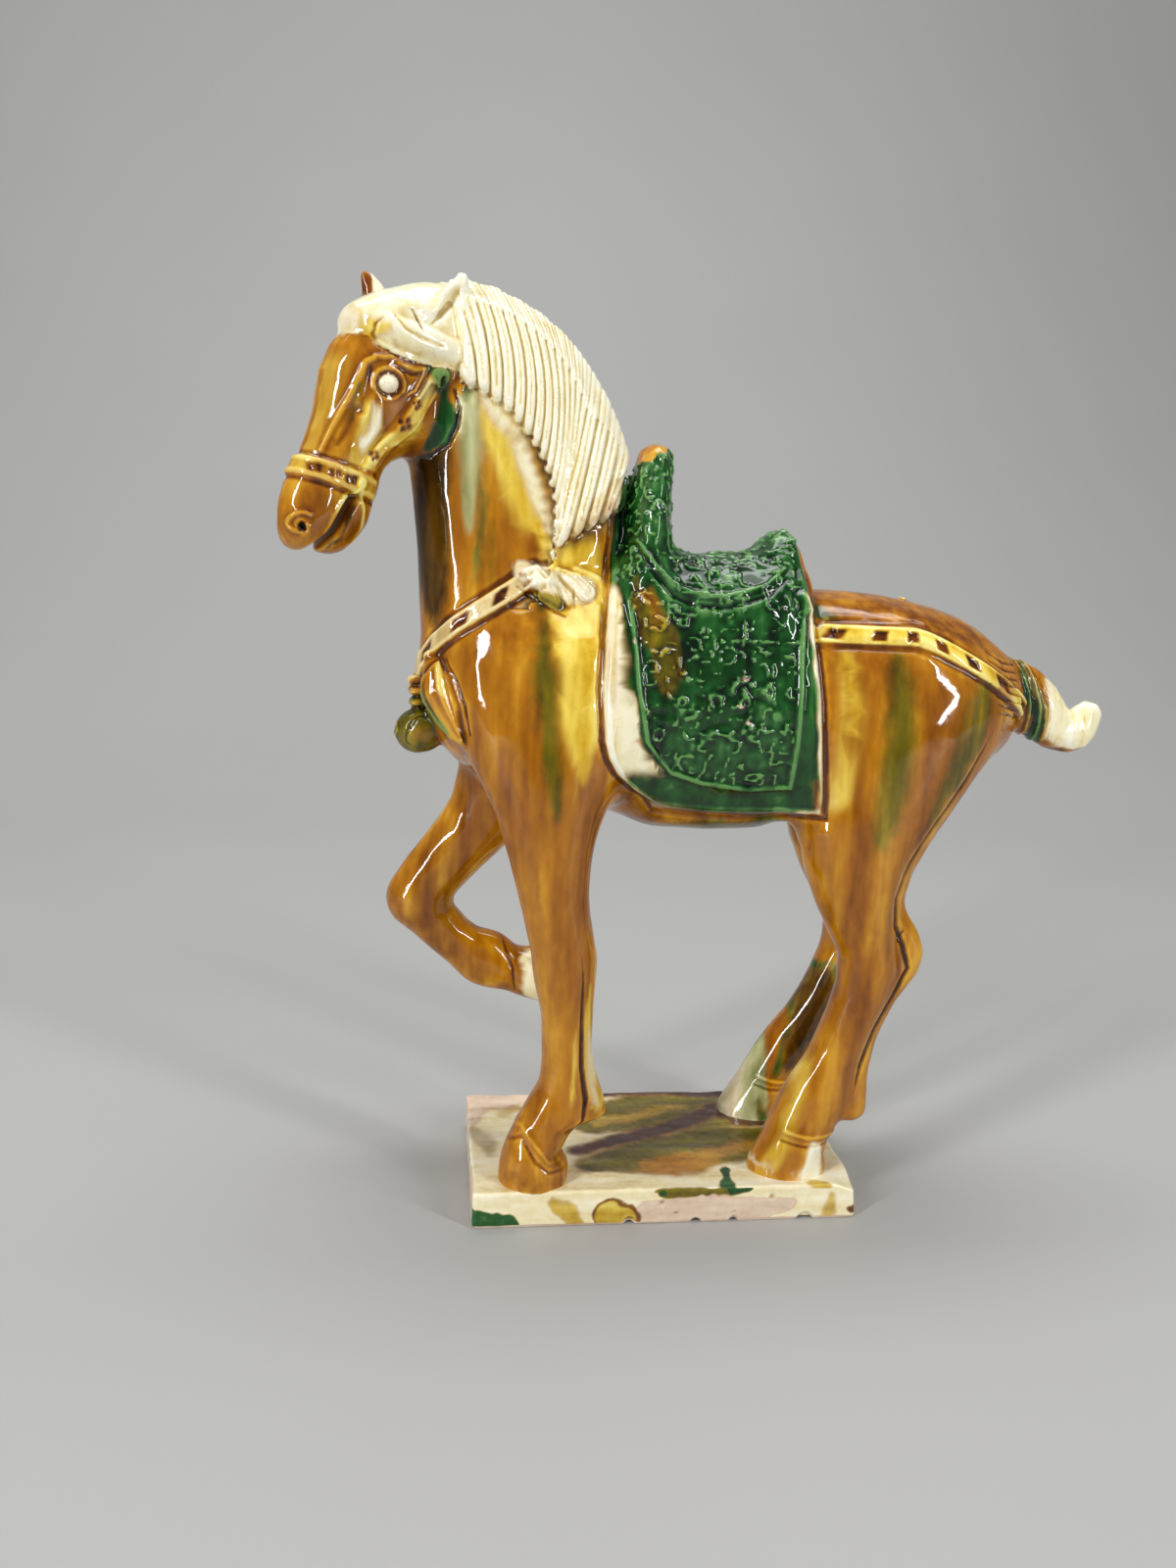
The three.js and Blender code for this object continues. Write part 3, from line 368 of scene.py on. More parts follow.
sag = smooth((X - 52) / 9) * smooth((-Y - 22) / 12) * smooth(Z / 12)
clay.skin[:, 2] -= 2.2 * sag
clay.skin[:, 0] -= 0.7 * sag * smooth((X - 58) / 3)
for x, z, r, deep in ((-12, 1, 2.2, 1.2), (9, 0, 2, 1.1), (21, 0.5, 1.8, 1), (33, 8, 1.4, 0.8), (-2, 7, 1.3, 0.7), (44, 0, 3, 0.9)):
    clay.carve(-deep, X, Z, [(x, z, r)], 1.3, (Y < -31))
run_x = X + 1.6 * (clay.wander(5, 1) - 0.5) + 1.2 * (clay.wander(2, 2) - 0.5)
run_y = Y + 1.6 * (clay.wander(5, 5) - 0.5) + 1.2 * (clay.wander(2, 6) - 0.5)
run_z = Z + 2.0 * (clay.wander(5, 3) - 0.5) + 1.0 * (clay.wander(1.8, 4) - 0.5)
everywhere = Z > -1
clay.cover("cream", everywhere, 1.0)
top = Z > 10.4
for coat, path, soft, amount in (
    ("bare", [(-60, 33, 8), (-50, 32, 10), (-40, 34, 6)], 5, 1),
    ("bare", [(-61, 20, 7), (-61, 12, 3)], 5, 1),
    ("yellow", [(-48, 18, 3), (-43, 22, 3), (-38, 20, 2)], 5, 0.45),
    # Painted shadow: grey-beige on the left end of the slab top
    ("ash", [(-59, 6, 3), (-55, -2, 4), (-54, -10, 2)], 5, 0.5),
    ("olive", [(-17, 12, 9), (10, 20, 16), (34, 22, 14), (52, 20, 5)], 7, 1),
    ("olive", [(-21, -18, 6), (0, -12, 12), (24, -6, 12), (44, -4, 9)], 7, 1),
    ("yellow", [(-16, 11, 4), (-6, 14, 4), (14, 22, 3)], 6, 0.6),
    ("amber", [(-2, -20, 5), (10, -18, 7), (20, -12, 4), (34, -6, 3)], 8, 0.9),
    ("dark", [(-26, -9, 2.5), (-10, -1.5, 3.5), (10, 8, 4), (30, 19, 5)], 6, 0.95),
    ("dark", [(-13, 35, 5), (12, 36, 6), (36, 34, 6)], 6, 0.9),
    ("dark", [(26, 20, 3), (34, 10, 4), (44, 8, 2)], 6, 0.8),
    ("cream", [(-19, -31, 8), (-7, -35, 4)], 5, 1),
    ("cream", [(25, -30, 6), (42, -33, 10), (58, -28, 9)], 3, 1),
    ("cream", [(59, -12, 7), (60, 10, 4)], 4, 1),
    ("yellow", [(46, -32, 2), (50, -34, 2)], 3, 0.7),
    ("green", [(20.5, -22, 1), (19.5, -28, 1.5), (18, -35, 3)], 1.6, 1),
    ("olive", [(-2, -35, 2), (10, -35, 2.2)], 1.6, 1),
):
    if coat == "amber":
        hit = within(run_x, run_y, path, soft, top)
        share = amount * brush(run_x[hit], run_y[hit], path, soft, 0.5)
        for name in clay.coats:
            clay.coats[name][hit] *= 1 - share
    else:
        clay.glaze(coat, run_x, run_y, path, soft, top, amount)
face = (Y < -32.2) & (Z <= 11.6)
for coat, path, soft, amount in (
    ("bare", [(-6, 3.5, 5), (10, 4.5, 4.4), (26, 4, 4), (39, 5, 2)], 1, 1),
    ("yellow", [(-36, 8, 1.5), (-31, 5, 3), (-29, 1, 3)], 2.5, 0.7),
    ("brown", [(-17, 3, 6.4), (-13, 3, 4.6)], 0.9, 0.8),
    ("yellow", [(-17, 2.6, 5.6), (-13.6, 2.6, 3.8)], 1.4, 1),
    ("olive", [(-1, 11, 1.8), (12, 10.6, 2), (22, 11, 1.8)], 1, 1),
    ("green", [(-1.5, 10.8, 1.3)], 1.2, 0.9),
    ("green", [(20, 11, 2), (25, 11, 1.4)], 1.2, 0.9),
    ("yellow", [(52, 8, 1.5), (52, 2, 2.5)], 3, 0.6),
    ("brown", [(59, 4, 1.6), (62, 5, 2)], 1.5, 0.8),
    ("green", [(-61, 3, 4), (-54, 2.5, 3.4), (-49, 2, 2.8)], 1, 1),
    ("brown", [(2, 4, 0.3), (3, 4, 0.3)], 0.6, 0.8),
    ("brown", [(20, 3, 0.25), (21.5, 3.2, 0.25)], 0.6, 0.8),
):
    clay.glaze(coat, run_x, run_z, path, soft, face, amount)
clay.cover("bare", X < -60, 0.75 * smooth((clay.wander(8, 31)[X < -60] - 0.3) / 0.2))
clay.cover("olive", Y > 33.2, 0.8 * smooth((clay.wander(16, 32)[Y > 33.2] - 0.45) / 0.2))
clay.cover("bare", (Y > 32.5) & (Z < 8), 0.9 * smooth((clay.wander(12, 33)[(Y > 32.5) & (Z < 8)] - 0.5) / 0.1))
clay.cover("bare", Z < 0.8, 1.0)
clay.fired(195000, 8)

slab_glaze = new_material("slab_glaze")


def cloud(scale, stretch=(1, 1, 1), detail=2.0):
    place = Wire.node("ShaderNodeTexCoord", output=3)
    mapped = Wire.node("ShaderNodeMapping", None, {"Vector": place, "Scale": stretch})
    return Wire.node("ShaderNodeTexNoise", None, {"Vector": mapped, "Scale": scale, "Detail": detail})


def layer(name):
    attribute = Wire.node("ShaderNodeAttribute", {"attribute_name": name})
    split = Wire.node("ShaderNodeSeparateColor", None, {0: attribute}).socket.node
    return [Wire(socket) for socket in split.outputs] + [Wire(attribute.socket.node.outputs[3])]


def shades(depth, *colours):
    """A glaze from where it lies thin to where it lies deep"""
    stops = [(0.25 + 0.5 * i / (len(colours) - 1), linear(*c)) for i, c in enumerate(colours)]
    return Wire.node("ShaderNodeValToRGB", {"stops": stops}, {0: depth})


def coats_over(under, depth, grit, palette):
    """The coats laid over one another, their edges broken up by grit"""
    for share, colours in palette:
        edge = (share + (grit - 0.5) * 0.35 * (share * (1 - share) * 4)).step(0.08, 0.92)
        under = edge.mixed(under, shades(depth, *colours))
    return under


cream, green, olive, yellow = layer("glaze_a")
brown, bare, dark, ash = layer("glaze_b")
pool = Wire.node("ShaderNodeAttribute", {"attribute_name": "pool"}, output=2)
along = Wire.node("ShaderNodeMapping", None, {
    "Vector": Wire.node("ShaderNodeTexCoord", output=3), "Rotation": (0, 0, -0.4), "Scale": (0.16, 1, 1),
})
drag = Wire.node("ShaderNodeTexNoise", None, {"Vector": along, "Scale": 190.0, "Detail": 3.0})
grit = cloud(500, detail=3)
depth = drag * 0.75 + grit * 0.25 + (pool - 0.5) * 0.5
colour = coats_over(shades(depth, (214, 168, 60), (190, 134, 34), (156, 98, 18), (110, 60, 8)), depth, grit, (
    (cream, ((255, 250, 226), (250, 240, 204), (238, 222, 170), (206, 178, 112))),
    (ash, ((208, 204, 176), (182, 176, 142), (150, 142, 104), (116, 108, 72))),
    (yellow, ((240, 226, 130), (220, 190, 76), (186, 148, 34), (140, 98, 12))),
    (olive, ((168, 156, 58), (124, 112, 26), (92, 80, 14), (60, 48, 10))),
    (brown, ((150, 100, 40), (116, 70, 20), (88, 46, 12), (54, 26, 8))),
    (dark, ((112, 80, 62), (90, 56, 46), (66, 38, 36), (42, 24, 26))),
    (green, ((110, 150, 90), (36, 92, 40), (12, 62, 22), (2, 30, 10))),
    (bare, ((240, 220, 198), (232, 208, 184), (218, 192, 166), (180, 150, 126))),
))
pores = cloud(1500, detail=4).step(0.66, 0.74) * bare
colour = (pores * 0.6).mixed(colour, linear(150, 118, 96))
swell = cloud(70) * (1 - bare) * 0.5 + cloud(900, detail=6) * bare * 0.5
relief = Wire.node("ShaderNodeBump", None, {"Strength": 0.5, "Distance": 0.0006, "Height": swell})
surfaced(colour, bare * 0.6 + 0.08, relief, IOR=1.52)
slab.data.materials.append(slab_glaze)
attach(slab, "root")
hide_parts("horse_figure")

# The horse: press-moulded earthenware, in one piece with its harness, saddle, mane and the slab it is luted to.
# A fine skin is laid over the plain form, its facets are rubbed down, and the carving is then cut into it.
bpy.ops.object.select_all(action="DESELECT")
horse = bpy.data.objects.new("horse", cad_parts["horse_figure"].data.copy())
bpy.context.scene.collection.objects.link(horse)
horse.select_set(True)
bpy.context.view_layer.objects.active = horse
horse.data.materials.clear()
bpy.ops.object.mode_set(mode="EDIT")
bpy.ops.mesh.select_all(action="SELECT")
bpy.ops.mesh.remove_doubles(threshold=1e-6)
bpy.ops.mesh.select_all(action="SELECT")
bpy.ops.mesh.bisect(
    plane_co=(0, 0, (SLAB_TOP + 0.15) / MM), plane_no=(0, 0, 1), use_fill=True, clear_inner=True
)
bpy.ops.object.mode_set(mode="OBJECT")
clay = fine_skin(horse, 0.52)


def sponged(rounds):
    rub = horse.modifiers.new("rub", "SMOOTH")
    rub.factor = 0.5
    rub.iterations = rounds
    bpy.ops.object.modifier_apply(modifier="rub")
    return clay.points()


light_rub = sponged(16)
heavy_rub = sponged(60)
heavy_rub = 2 * heavy_rub - sponged(60)
X, Y, Z = light_rub.T
TURN = math.radians(30)


def head_frame(points):
    """How far forward along the turned head, and how far out to its near side"""
    x, y = points[:, 0] + 76, points[:, 1] + 1
    forward = -(x * math.cos(TURN) + y * math.sin(TURN))
    return forward, x * math.sin(TURN) - y * math.cos(TURN)


def breast_strap(x, y, z):
    """Angle round the chest and distance across the strap"""
    angle = np.degrees(np.arctan2(x + 45, -y))
    angle = np.where(angle > 90, angle - 360, angle)
    fall = np.minimum(abs(angle + 90) / 90, 1)
    height = 163 + 33 * (1 - (1 - fall) ** 1.5)
    radius = np.hypot(x + 45, y)
    return angle, (z - height) / np.hypot(1, 0.55 * np.sqrt(1 - fall) * 57.3 / radius), radius


def crupper(x, y, z):
    angle = np.degrees(np.arctan2(x - 70, abs(y)))
    fall = np.maximum(angle + 10, 0) / 86
    height = 182.5 - 22 * fall ** 1.5
    radius = np.hypot(x - 70, y)
    return angle, (z - height) / np.hypot(1, 0.384 * np.sqrt(fall) * 57.3 / radius), radius


def cloth_inset(x, z):
    """How far inside the edge of the saddle cloth"""
    front = np.interp(
        z,
        [128, 131, 135, 140, 145, 150, 165, 180, 196, 215, 226, 234, 250],
        [-7, -10, -16, -21.5, -24.6, -26, -27.4, -26.4, -24.6, -22.4, -20, -22, -24],
    )
    rear = 40.6 - 0.11 * np.maximum(z - 135, 0)
    return np.minimum(np.minimum(x - front, rear - x), z - 128.3 - 0.0016 * (x - 20) ** 2)


U, S = head_frame(light_rub)
fine = (U > -10) & (Z > 190) & (X < -62)
plain = smooth((-cloth_inset(X, Z) - 1) / 3) * ~fine
plain *= np.where((X < -28) & (Z > 150), smooth((abs(breast_strap(X, Y, Z)[1]) - 3.5) / 3), 1)
plain *= np.where((X > 36) & (Z > 150), smooth((abs(crupper(X, Y, Z)[1]) - 3.5) / 3), 1)
plain *= 1 - smooth((-62 - X) / 3) * smooth((174 - Z) / 3) * smooth((Z - 136) / 3)
plain *= 1 - smooth((X + 55) / 3) * smooth((-24 - X) / 3) * smooth((Z - 183) / 3) * smooth((202 - Z) / 3)
plain *= smooth((104 - X) / 8) * smooth((Z - 13) / 6)
plain = plain[:, None]
clay.settle(light_rub * (1 - plain) + heavy_rub * plain)
X, Y, Z = clay.at
U, S = head_frame(clay.skin)
near, far = Y < -1, Y >= -1
jaw = np.interp(Z, [190, 223, 227, 229, 233, 237, 240.3, 247, 252], [12, 12, 10, 5.8, 3.3, 2.3, 1.7, -1, -8])
head = (U > jaw) & (Z > 190) & (X < -64)
trunk = ~head & (Z > 118)
legs = Z < 135
near_fore = legs & near & (X < -10)
near_hind = legs & near & (X > 15)
far_hind = legs & far & (X > 15)
raised = legs & far & (X < -10)

# Glazes are brushed on over each other and run before they set, so their edges wander
run_x = X + 3.0 * (clay.wander(7, 1, 5) - 0.5) + 1.5 * (clay.wander(2.5, 2, 6) - 0.5)
run_z = Z + 7.0 * (clay.wander(6, 3) - 0.5) + 3.0 * (clay.wander(2.2, 4, 2) - 0.5)
run_u = U + 1.8 * (clay.wander(5, 1, 2) - 0.5)


def flow(coat, path, soft, where, amount=1.0):
    """A streak of glaze on a side of the body: rows of x, z, half width"""
    clay.glaze(coat, run_x, run_z, path, soft, where, amount)


# Body: deep at the belly, round in the quarters; the amber thins to yellow and runs into olive and brown streaks
bump = smooth((X + 22) / 16) * smooth((42 - X) / 16) * smooth((133 - Z) / 10) * (Z > 100)
clay.skin[:, 2] -= 3.2 * bump
for side in (near, far):
    flank = side & trunk
    flow("brown", [(-53, 186, 3), (-53, 165, 4), (-50, 140, 4), (-48, 124, 2)], 7, flank, 0.3)
    flow("yellow", [(-36, 202, 8), (-35, 185, 8), (-34, 168, 6.5), (-33, 152, 4.5), (-32, 138, 1.5)], 5, flank)
    flow("olive", [(-44.5, 186, 1), (-44, 172, 2.6), (-42, 156, 3), (-40, 140, 2.5), (-39, 128, 1)], 4.5, flank, 0.85)
    flow("yellow", [(45, 178, 2), (46, 160, 3), (46, 132, 3)], 5, flank, 0.75)
    flow("olive", [(60, 176, 2.5), (61, 155, 5), (60, 136, 5), (58, 118, 2)], 7, flank, 0.85)
    flow("brown", [(71, 172, 2), (73, 150, 3), (70, 124, 2)], 7, flank, 0.3)
    flow("olive", [(89, 172, 3), (87, 160, 6), (83, 145, 5), (77, 130, 2)], 7, flank, 0.85)
    # Pale ash streak down the buttock: partly its grey glaze, partly a painted highlight where the strip light reflects
    flow("ash", [(85, 170, 1.5), (84, 158, 2.5), (81, 146, 1)], 6, flank, 0.3)
    flow("yellow", [(48, 192, 1), (60, 191, 1)], 3, flank, 0.5)
    flow("brown", [(46, 189, 2), (66, 189, 2.5), (84, 184, 2.5), (94, 178, 2)], 4, flank, 0.65)
    flow("green", [(38, 189, 2.5), (43, 188, 1)], 4, flank, 0.8)
    # Underside of the belly: dark laid first as painted shade, then the dark green glaze of the belly over it
    flow("dark", [(-14, 122, 4), (8, 119, 7), (30, 122, 6)], 6, side & (Z < 131) & (Z > 110), 0.45)
    flow("green", [(-8, 122, 4), (8, 119, 7), (30, 122, 6)], 6, side & (Z < 131) & (Z > 110), 0.7)
    flow("brown", [(-22, 130, 1), (-12, 127, 1)], 4, side & (Z < 133) & (Z > 110), 0.6)
neck = ~head & (Z > 186) & (X < -20)
flow("yellow", [(-58, 238, 7), (-51, 224, 7), (-46, 212, 6), (-41, 203, 3)], 6, neck & near)
flow("cream", [(-60, 246, 5), (-52, 232, 3), (-45, 218, 2.5), (-41, 208, 2)], 5, neck & near, 0.85)
flow("ash", [(-67, 244, 4), (-66, 228, 4), (-65, 214, 2.5), (-64.5, 206, 1)], 4, neck & near, 0.85)
flow("green", [(-62.5, 226, 0.5), (-61.5, 212, 1.2), (-62.5, 200, 1.4), (-63.5, 190, 0.6)], 3, neck & near, 0.6)
flow("olive", [(-59, 212, 1), (-59.5, 200, 1), (-60, 190, 0.5)], 4, neck & near, 0.6)
flow("dark", [(-75, 240, 4), (-77, 215, 5.5), (-77, 195, 5.5), (-76, 184, 3)], 5, ~head & (Z > 175) & (X < -60), 0.9)
flow("yellow", [(-58, 238, 7), (-52, 220, 8), (-46, 206, 6)], 7, neck & far)
flow("olive", [(-66, 226, 2), (-64, 205, 2)], 5, neck & far, 0.7)

# Mane: combed down on both sides of the crest in narrow locks that end in round tips along an arc on the neck
LOCKS = 18
arc_x, arc_z, arc_r = -79.7, 210.5, 39.3
arc_from = math.atan2(248.5 - arc_z, -68 - arc_x)
arc_to = math.atan2(204 - arc_z, -41 - arc_x)
REAR_SHARE = 0.78
turn_here = np.arctan2(Z - arc_z, X - arc_x)
phase = np.where(
    X > -41,
    REAR_SHARE + (X + 41) / 17 * (1 - REAR_SHARE),
    (turn_here - arc_from) / (arc_to - arc_from) * REAR_SHARE,
) * LOCKS
mane_edge = np.hypot(X - arc_x, Z - arc_z) - arc_r
mane_edge = np.where(X > -41, (Z - 204) * 0.86 - (X + 41) * 0.5, mane_edge)
mane_edge = mane_edge + 0.55 * (1 - np.cos(2 * math.pi * phase)) - 0.4
in_mane = (mane_edge > -1.5) & ~((U > 0) & (Z > 190)) & (Z > 200) & (X < -17) & (X > -82) & (cloth_inset(X, Z) < 3)
crest_x = np.arange(-78.0, -14, 2)
crest_z = [Z[(abs(X - x) < 1.2) & ~head].max() for x in crest_x]
hit = np.flatnonzero(in_mane)
clay.lift(hit, 0.5 * smooth((mane_edge[hit] + 0.6) / 0.9))
# A soft groove runs along the mane's lower edge, and pale grey-olive is laid in it as painted shade, strongest next to
# the mane
mane_groove_and_shade = np.flatnonzero(neck & (mane_edge > -6) & (mane_edge < 0.5) & (X > -70))
clay.lift(mane_groove_and_shade, -0.55 * smooth((mane_edge[mane_groove_and_shade] + 6) / 6))
clay.cover("ash", mane_groove_and_shade, 0.4 * smooth((mane_edge[mane_groove_and_shade] + 5) / 4) * (Z[mane_groove_and_shade] < 236))
for k in range(2 * LOCKS + 1):
    share = k / LOCKS / 2
    top_x = -75 + share * 57
    top_z = np.interp(top_x, crest_x, crest_z) + 1.5
    if share < REAR_SHARE:
        angle = arc_from + share / REAR_SHARE * (arc_to - arc_from)
        tip_x, tip_z = arc_x + arc_r * math.cos(angle), arc_z + arc_r * math.sin(angle)
    else:
        tip_x = -41 + (share - REAR_SHARE) / (1 - REAR_SHARE) * 17
        tip_z = 204 + 0.58 * (tip_x + 41)
    bow = 6 * math.sin(math.pi * min(share * 1.25, 1)) + 1.5
    mid_x, mid_z = (tip_x + top_x) / 2 + bow, (tip_z + top_z) / 2 + 1
    main = k % 2 == 0
    for start, stop, reach in ((0.0 if main else 0.1, 0.72, 0.85 if main else 0.7), (0.72, 0.98, 0.45)):
        path = []
        for t in np.linspace(start, stop, 8):
            x = (1 - t) ** 2 * tip_x + 2 * t * (1 - t) * mid_x + t * t * top_x
            z = (1 - t) ** 2 * tip_z + 2 * t * (1 - t) * mid_z + t * t * top_z
            path.append((x, z, reach))
        clay.carve(-0.95 if main else -0.5, X, Z, path, 0.95, in_mane)
clay.cover("cream", hit, smooth((mane_edge[hit] + 0.5) / 0.8))
flow("brown", [(-36, 208, 0.6), (-29, 212, 1), (-24, 216, 1)], 2.5, in_mane & near, 0.55)
flow("yellow", [(-38, 209, 1.5), (-28, 216, 2), (-24, 221, 2)], 5, in_mane, 0.6)

# Head: long and lean, with a full cheek, a ridge down each side of the nose, round eyes without pupils,
# curled nostrils and parted lips; a strap runs down each cheek from a rosette to the noseband
for s in (S, -S):
    cheek = head & (s > 2.5)
    muzzle = head & (s > 1)

    def cut(height, path, soft, where=cheek):
        clay.carve(height, U, Z, path, soft, where)

    def wash(coat, path, soft, where=cheek, amount=1.0):
        clay.glaze(coat, run_u, run_z, path, soft, where, amount)

    wash("yellow", [(34, 250, 4), (38, 238, 4), (42, 226, 3)], 8, muzzle, 0.45)
    wash("brown", [(40, 214, 5), (44, 205, 4)], 6, muzzle, 0.5)
    wash("brown", [(26, 213, 1), (30, 206, 2)], 4, muzzle, 0.6)
    cut(-0.6, [(21, 245.2, 6)], 4)
    cut(-0.9, [(26.3, 248.5, 1.8), (27.2, 243, 2.4), (28.2, 237.5, 2)], 2.2)
    cut(-0.5, [(29.7, 238, 2), (32, 232, 2), (34.5, 228.5, 1.4)], 2.2)
    cut(0.8, [
        (20.3, 252.2, 1), (24.6, 251.9, 1.2), (27.2, 250.2, 1.3), (29.4, 245.7, 1.3), (31.5, 240.8, 1.3),
        (33.7, 236.3, 1.3), (35.9, 231.7, 1.2), (38.4, 226.4, 1),
    ], 1.5)
    cut(0.6, [(23, 240, 1.6), (23.5, 234, 2.4), (27, 228, 2)], 2.4)
    for radius, first, last, height, reach in (
        (4.5, -0.3, 3.5, 0.5, 0.9), (4.3, 3.5, 6.0, 0.3, 0.7), (3.5, 0, 6.29, -0.8, 0.5),
    ):
        lid = [
            (21.1 + radius * math.cos(a), 245.2 + 0.93 * radius * math.sin(a), reach)
            for a in np.linspace(first, last, 14)
        ]
        cut(height, lid, reach)
    cut(0.8, [(21.1, 245.2, 3.1)], 2.9)
    cut(0.7, [(18.6, 251, 0.7), (17.2, 250.4, 0.9), (13.7, 249.8, 0.9), (10.3, 250.4, 0.6)], 1.0)
    cut(-0.6, [(18.5, 249.4, 0.5), (14.5, 248.4, 0.7), (12, 248.9, 0.5)], 0.8)
    cut(0.7, [(10.4, 250.2, 0.5), (11.6, 247.6, 0.8), (13.3, 244.4, 0.8), (15.8, 242.8, 0.5)], 0.9)
    cut(-0.5, [(9.2, 250, 0.5), (10.3, 246.5, 0.7), (12.3, 243, 0.7)], 0.8)
    wash("yellow", [(26, 240, 1.5), (25, 233, 3.5), (28, 226, 3), (31, 222, 1)], 3, amount=0.8)
    wash("cream", [(24.6, 241, 1), (23.8, 236, 1.6), (24.5, 231, 1.8), (28.5, 226.5, 1.2)], 2.2, amount=0.85)
    wash("olive", [(28.6, 247, 1), (29.8, 240, 1.3), (31, 234, 0.6)], 2.5, amount=0.6)
    wash("brown", [(24, 249.5, 0.6), (20, 250, 0.8), (15, 249, 0.6)], 2, amount=0.5)
    strap = [(7.5, 246, 2.8), (11, 240.7, 3.1), (14.2, 235.4, 3), (16.8, 232.3, 2.5), (21.7, 228.5, 2), (24.3, 225, 1.9)]
    cut(0.5, strap, 1.2)
    cut(-0.3, [(u, z, w - 0.9) for u, z, w in strap], 1.0)
    wash("yellow", strap, 1.6, amount=0.7)
    wash("ash", [(7.5, 246, 2), (11, 241, 2)], 2, amount=0.5)
    for u, z, r in ((12.4, 240.6, 0.9), (15.6, 235.2, 1.25), (24, 226.2, 0.9)):
        for a in (0.4, 2.0, 3.5, 5.1):
            petal = (u + 1.05 * r * math.cos(a), z + 1.05 * r * math.sin(a), 0.85 * r)
            cut(-0.45, [petal], 0.8 * r)
            clay.glaze("brown", U, Z, [petal], 1.0, cheek, 0.55)
    cut(0.9, [(6.0, 248.6, 3.3)], 1.8)
    cut(-1.4, [(4.9, 248.4, 1.2), (4.6, 247.4, 1.1)], 1.0)
    throat = (Z > 220) & (s > 1) & (U > -8)
    cut(-1.3, [(1.2, 246, 0.8), (0.2, 241, 1.2), (0.6, 236, 1.3), (2.4, 231, 1.2), (5, 228, 0.8)], 1.7, throat)
    band = Z - 220 - 0.27 * (U - 33)
    hit = np.flatnonzero(head & (Z < 235) & (U > 22) & (s > 0))
    for centre, half, height, soft in ((0, 3.1, 0.4, 0.7), (0, 1.7, -0.35, 0.9), (4, 1, -0.3, 1), (-4, 1, -0.3, 1)):
        clay.lift(hit, height * smooth((half - abs(band[hit] - centre)) / soft))
    clay.cover("yellow", hit, 0.45 * smooth((3.1 - abs(band[hit])) / 0.8))
    for u in (40.5, 35.5, 30.8):
        for a in (0.8, 2.4, 3.9, 5.5):
            petal = (u + 1.3 * math.cos(a), 220 + 0.27 * (u - 33) + 0.8 * math.sin(a), 1.0)
            cut(-0.3, [petal], 1.0, head & (s > 3))
            clay.glaze("brown", U, Z, [petal], 1.2, head & (s > 3), 0.5)
    cut(0.9, [(27.6, 218.6, 2.0)], 1.2)
    clay.glaze("yellow", U, Z, [(27.6, 218.6, 1.6)], 1, cheek)
    curl = [
        (44.3 + (1.6 + 0.34 * a) * math.cos(a + 3.4), 206.8 + (1.6 + 0.34 * a) * math.sin(a + 3.4), 0.8)
        for a in np.linspace(0, 5.2, 14)
    ]
    cut(0.8, curl, 0.9, head & (s > 1.5))
    cut(-2.2, [(44.2, 206.6, 1.4), (43.7, 205.4, 1.3)], 1.4, head & (s > 1.5))
    clay.glaze("dark", U, Z, [(44.0, 206.0, 1.2)], 0.8, head & (s > 1.5), 0.9)
    cut(0.7, [(28.2, 217, 0.8), (32.4, 214.6, 1), (34.6, 211, 1), (37, 206, 1), (40, 201.5, 0.8)], 1.2, muzzle)
    cut(0.6, [(27.6, 216.6, 0.8), (25.9, 212, 0.8), (26.0, 207, 0.9), (28.2, 203, 0.8)], 1.2, muzzle)
    wash("yellow", [(28.2, 217, 0.8), (32.4, 214.6, 0.9), (34.6, 211, 0.9)], 1.4, muzzle, 0.8)
    wash("yellow", [(27.6, 216.6, 0.8), (25.9, 212, 0.8), (26.0, 207, 0.9)], 1.4, muzzle, 0.7)
    wash("dark", [(29, 213.5, 0.5), (31.5, 208.5, 0.7), (35.5, 202.5, 0.7)], 1.4, muzzle, 0.8)
    cut(-0.8, [(22.6, 262.6, 0.5), (24.6, 260.5, 0.8), (24.9, 258, 0.8), (23.6, 255.6, 0.6)], 1.1, muzzle)
    cut(-0.8, [(19.5, 263.2, 0.6), (17, 259.8, 0.9), (12.3, 257.8, 0.9), (6.6, 256.6, 0.7)], 1.1)
    cut(-0.8, [(23.3, 255.2, 0.7), (19.2, 253.0, 0.9), (14.8, 251.7, 0.8), (8.8, 251.5, 0.6)], 1.1)
    cut(-1.5, [(8.6, 262.5, 0.6), (5.6, 265.4, 1.6), (2.6, 268.6, 1.2)], 1.6)
    cut(-1.6, [(14.2, 265.4, 0.5), (12.6, 262.2, 0.8), (12.2, 260, 0.4)], 0.9)
    wash("green", [(8, 252, 1.6), (5.2, 248.5, 3.0), (4, 244, 1.2)], 1.8, cheek & (U < 12), 0.8)
    wash("green", [(3.2, 244, 0.8), (2.6, 238, 3), (4.2, 233, 3), (6, 230, 1.5)], 2.4, throat & (s > 2))
    clay.glaze("yellow", U, Z, [(21.1, 245.2, 3.2)], 0.6, cheek)
    clay.glaze("cream", U, Z, [(21.2, 245.3, 3.0)], 0.8, cheek, 0.75)
hair = head & (Z > 250.5) & (Z > 252.2 + np.interp(U, [3, 10, 17, 24, 26, 40], [-1, -0.7, 0.4, 3.2, 5.5, 6.5]))
hair |= (U > -3) & (U <= 3) & (Z > 251.5) & head
clay.cover("cream", hair, 1.0)
clay.glaze("yellow", run_u, run_z, [(26, 262, 1.5), (24.5, 258, 2), (19, 255.6, 0.8)], 3, hair & (abs(S) > 1), 0.85)
clay.glaze("yellow", run_u, run_z, [(30, 262, 2), (29, 266, 2)], 4, hair, 0.4)
ear = hair & (S > 3)
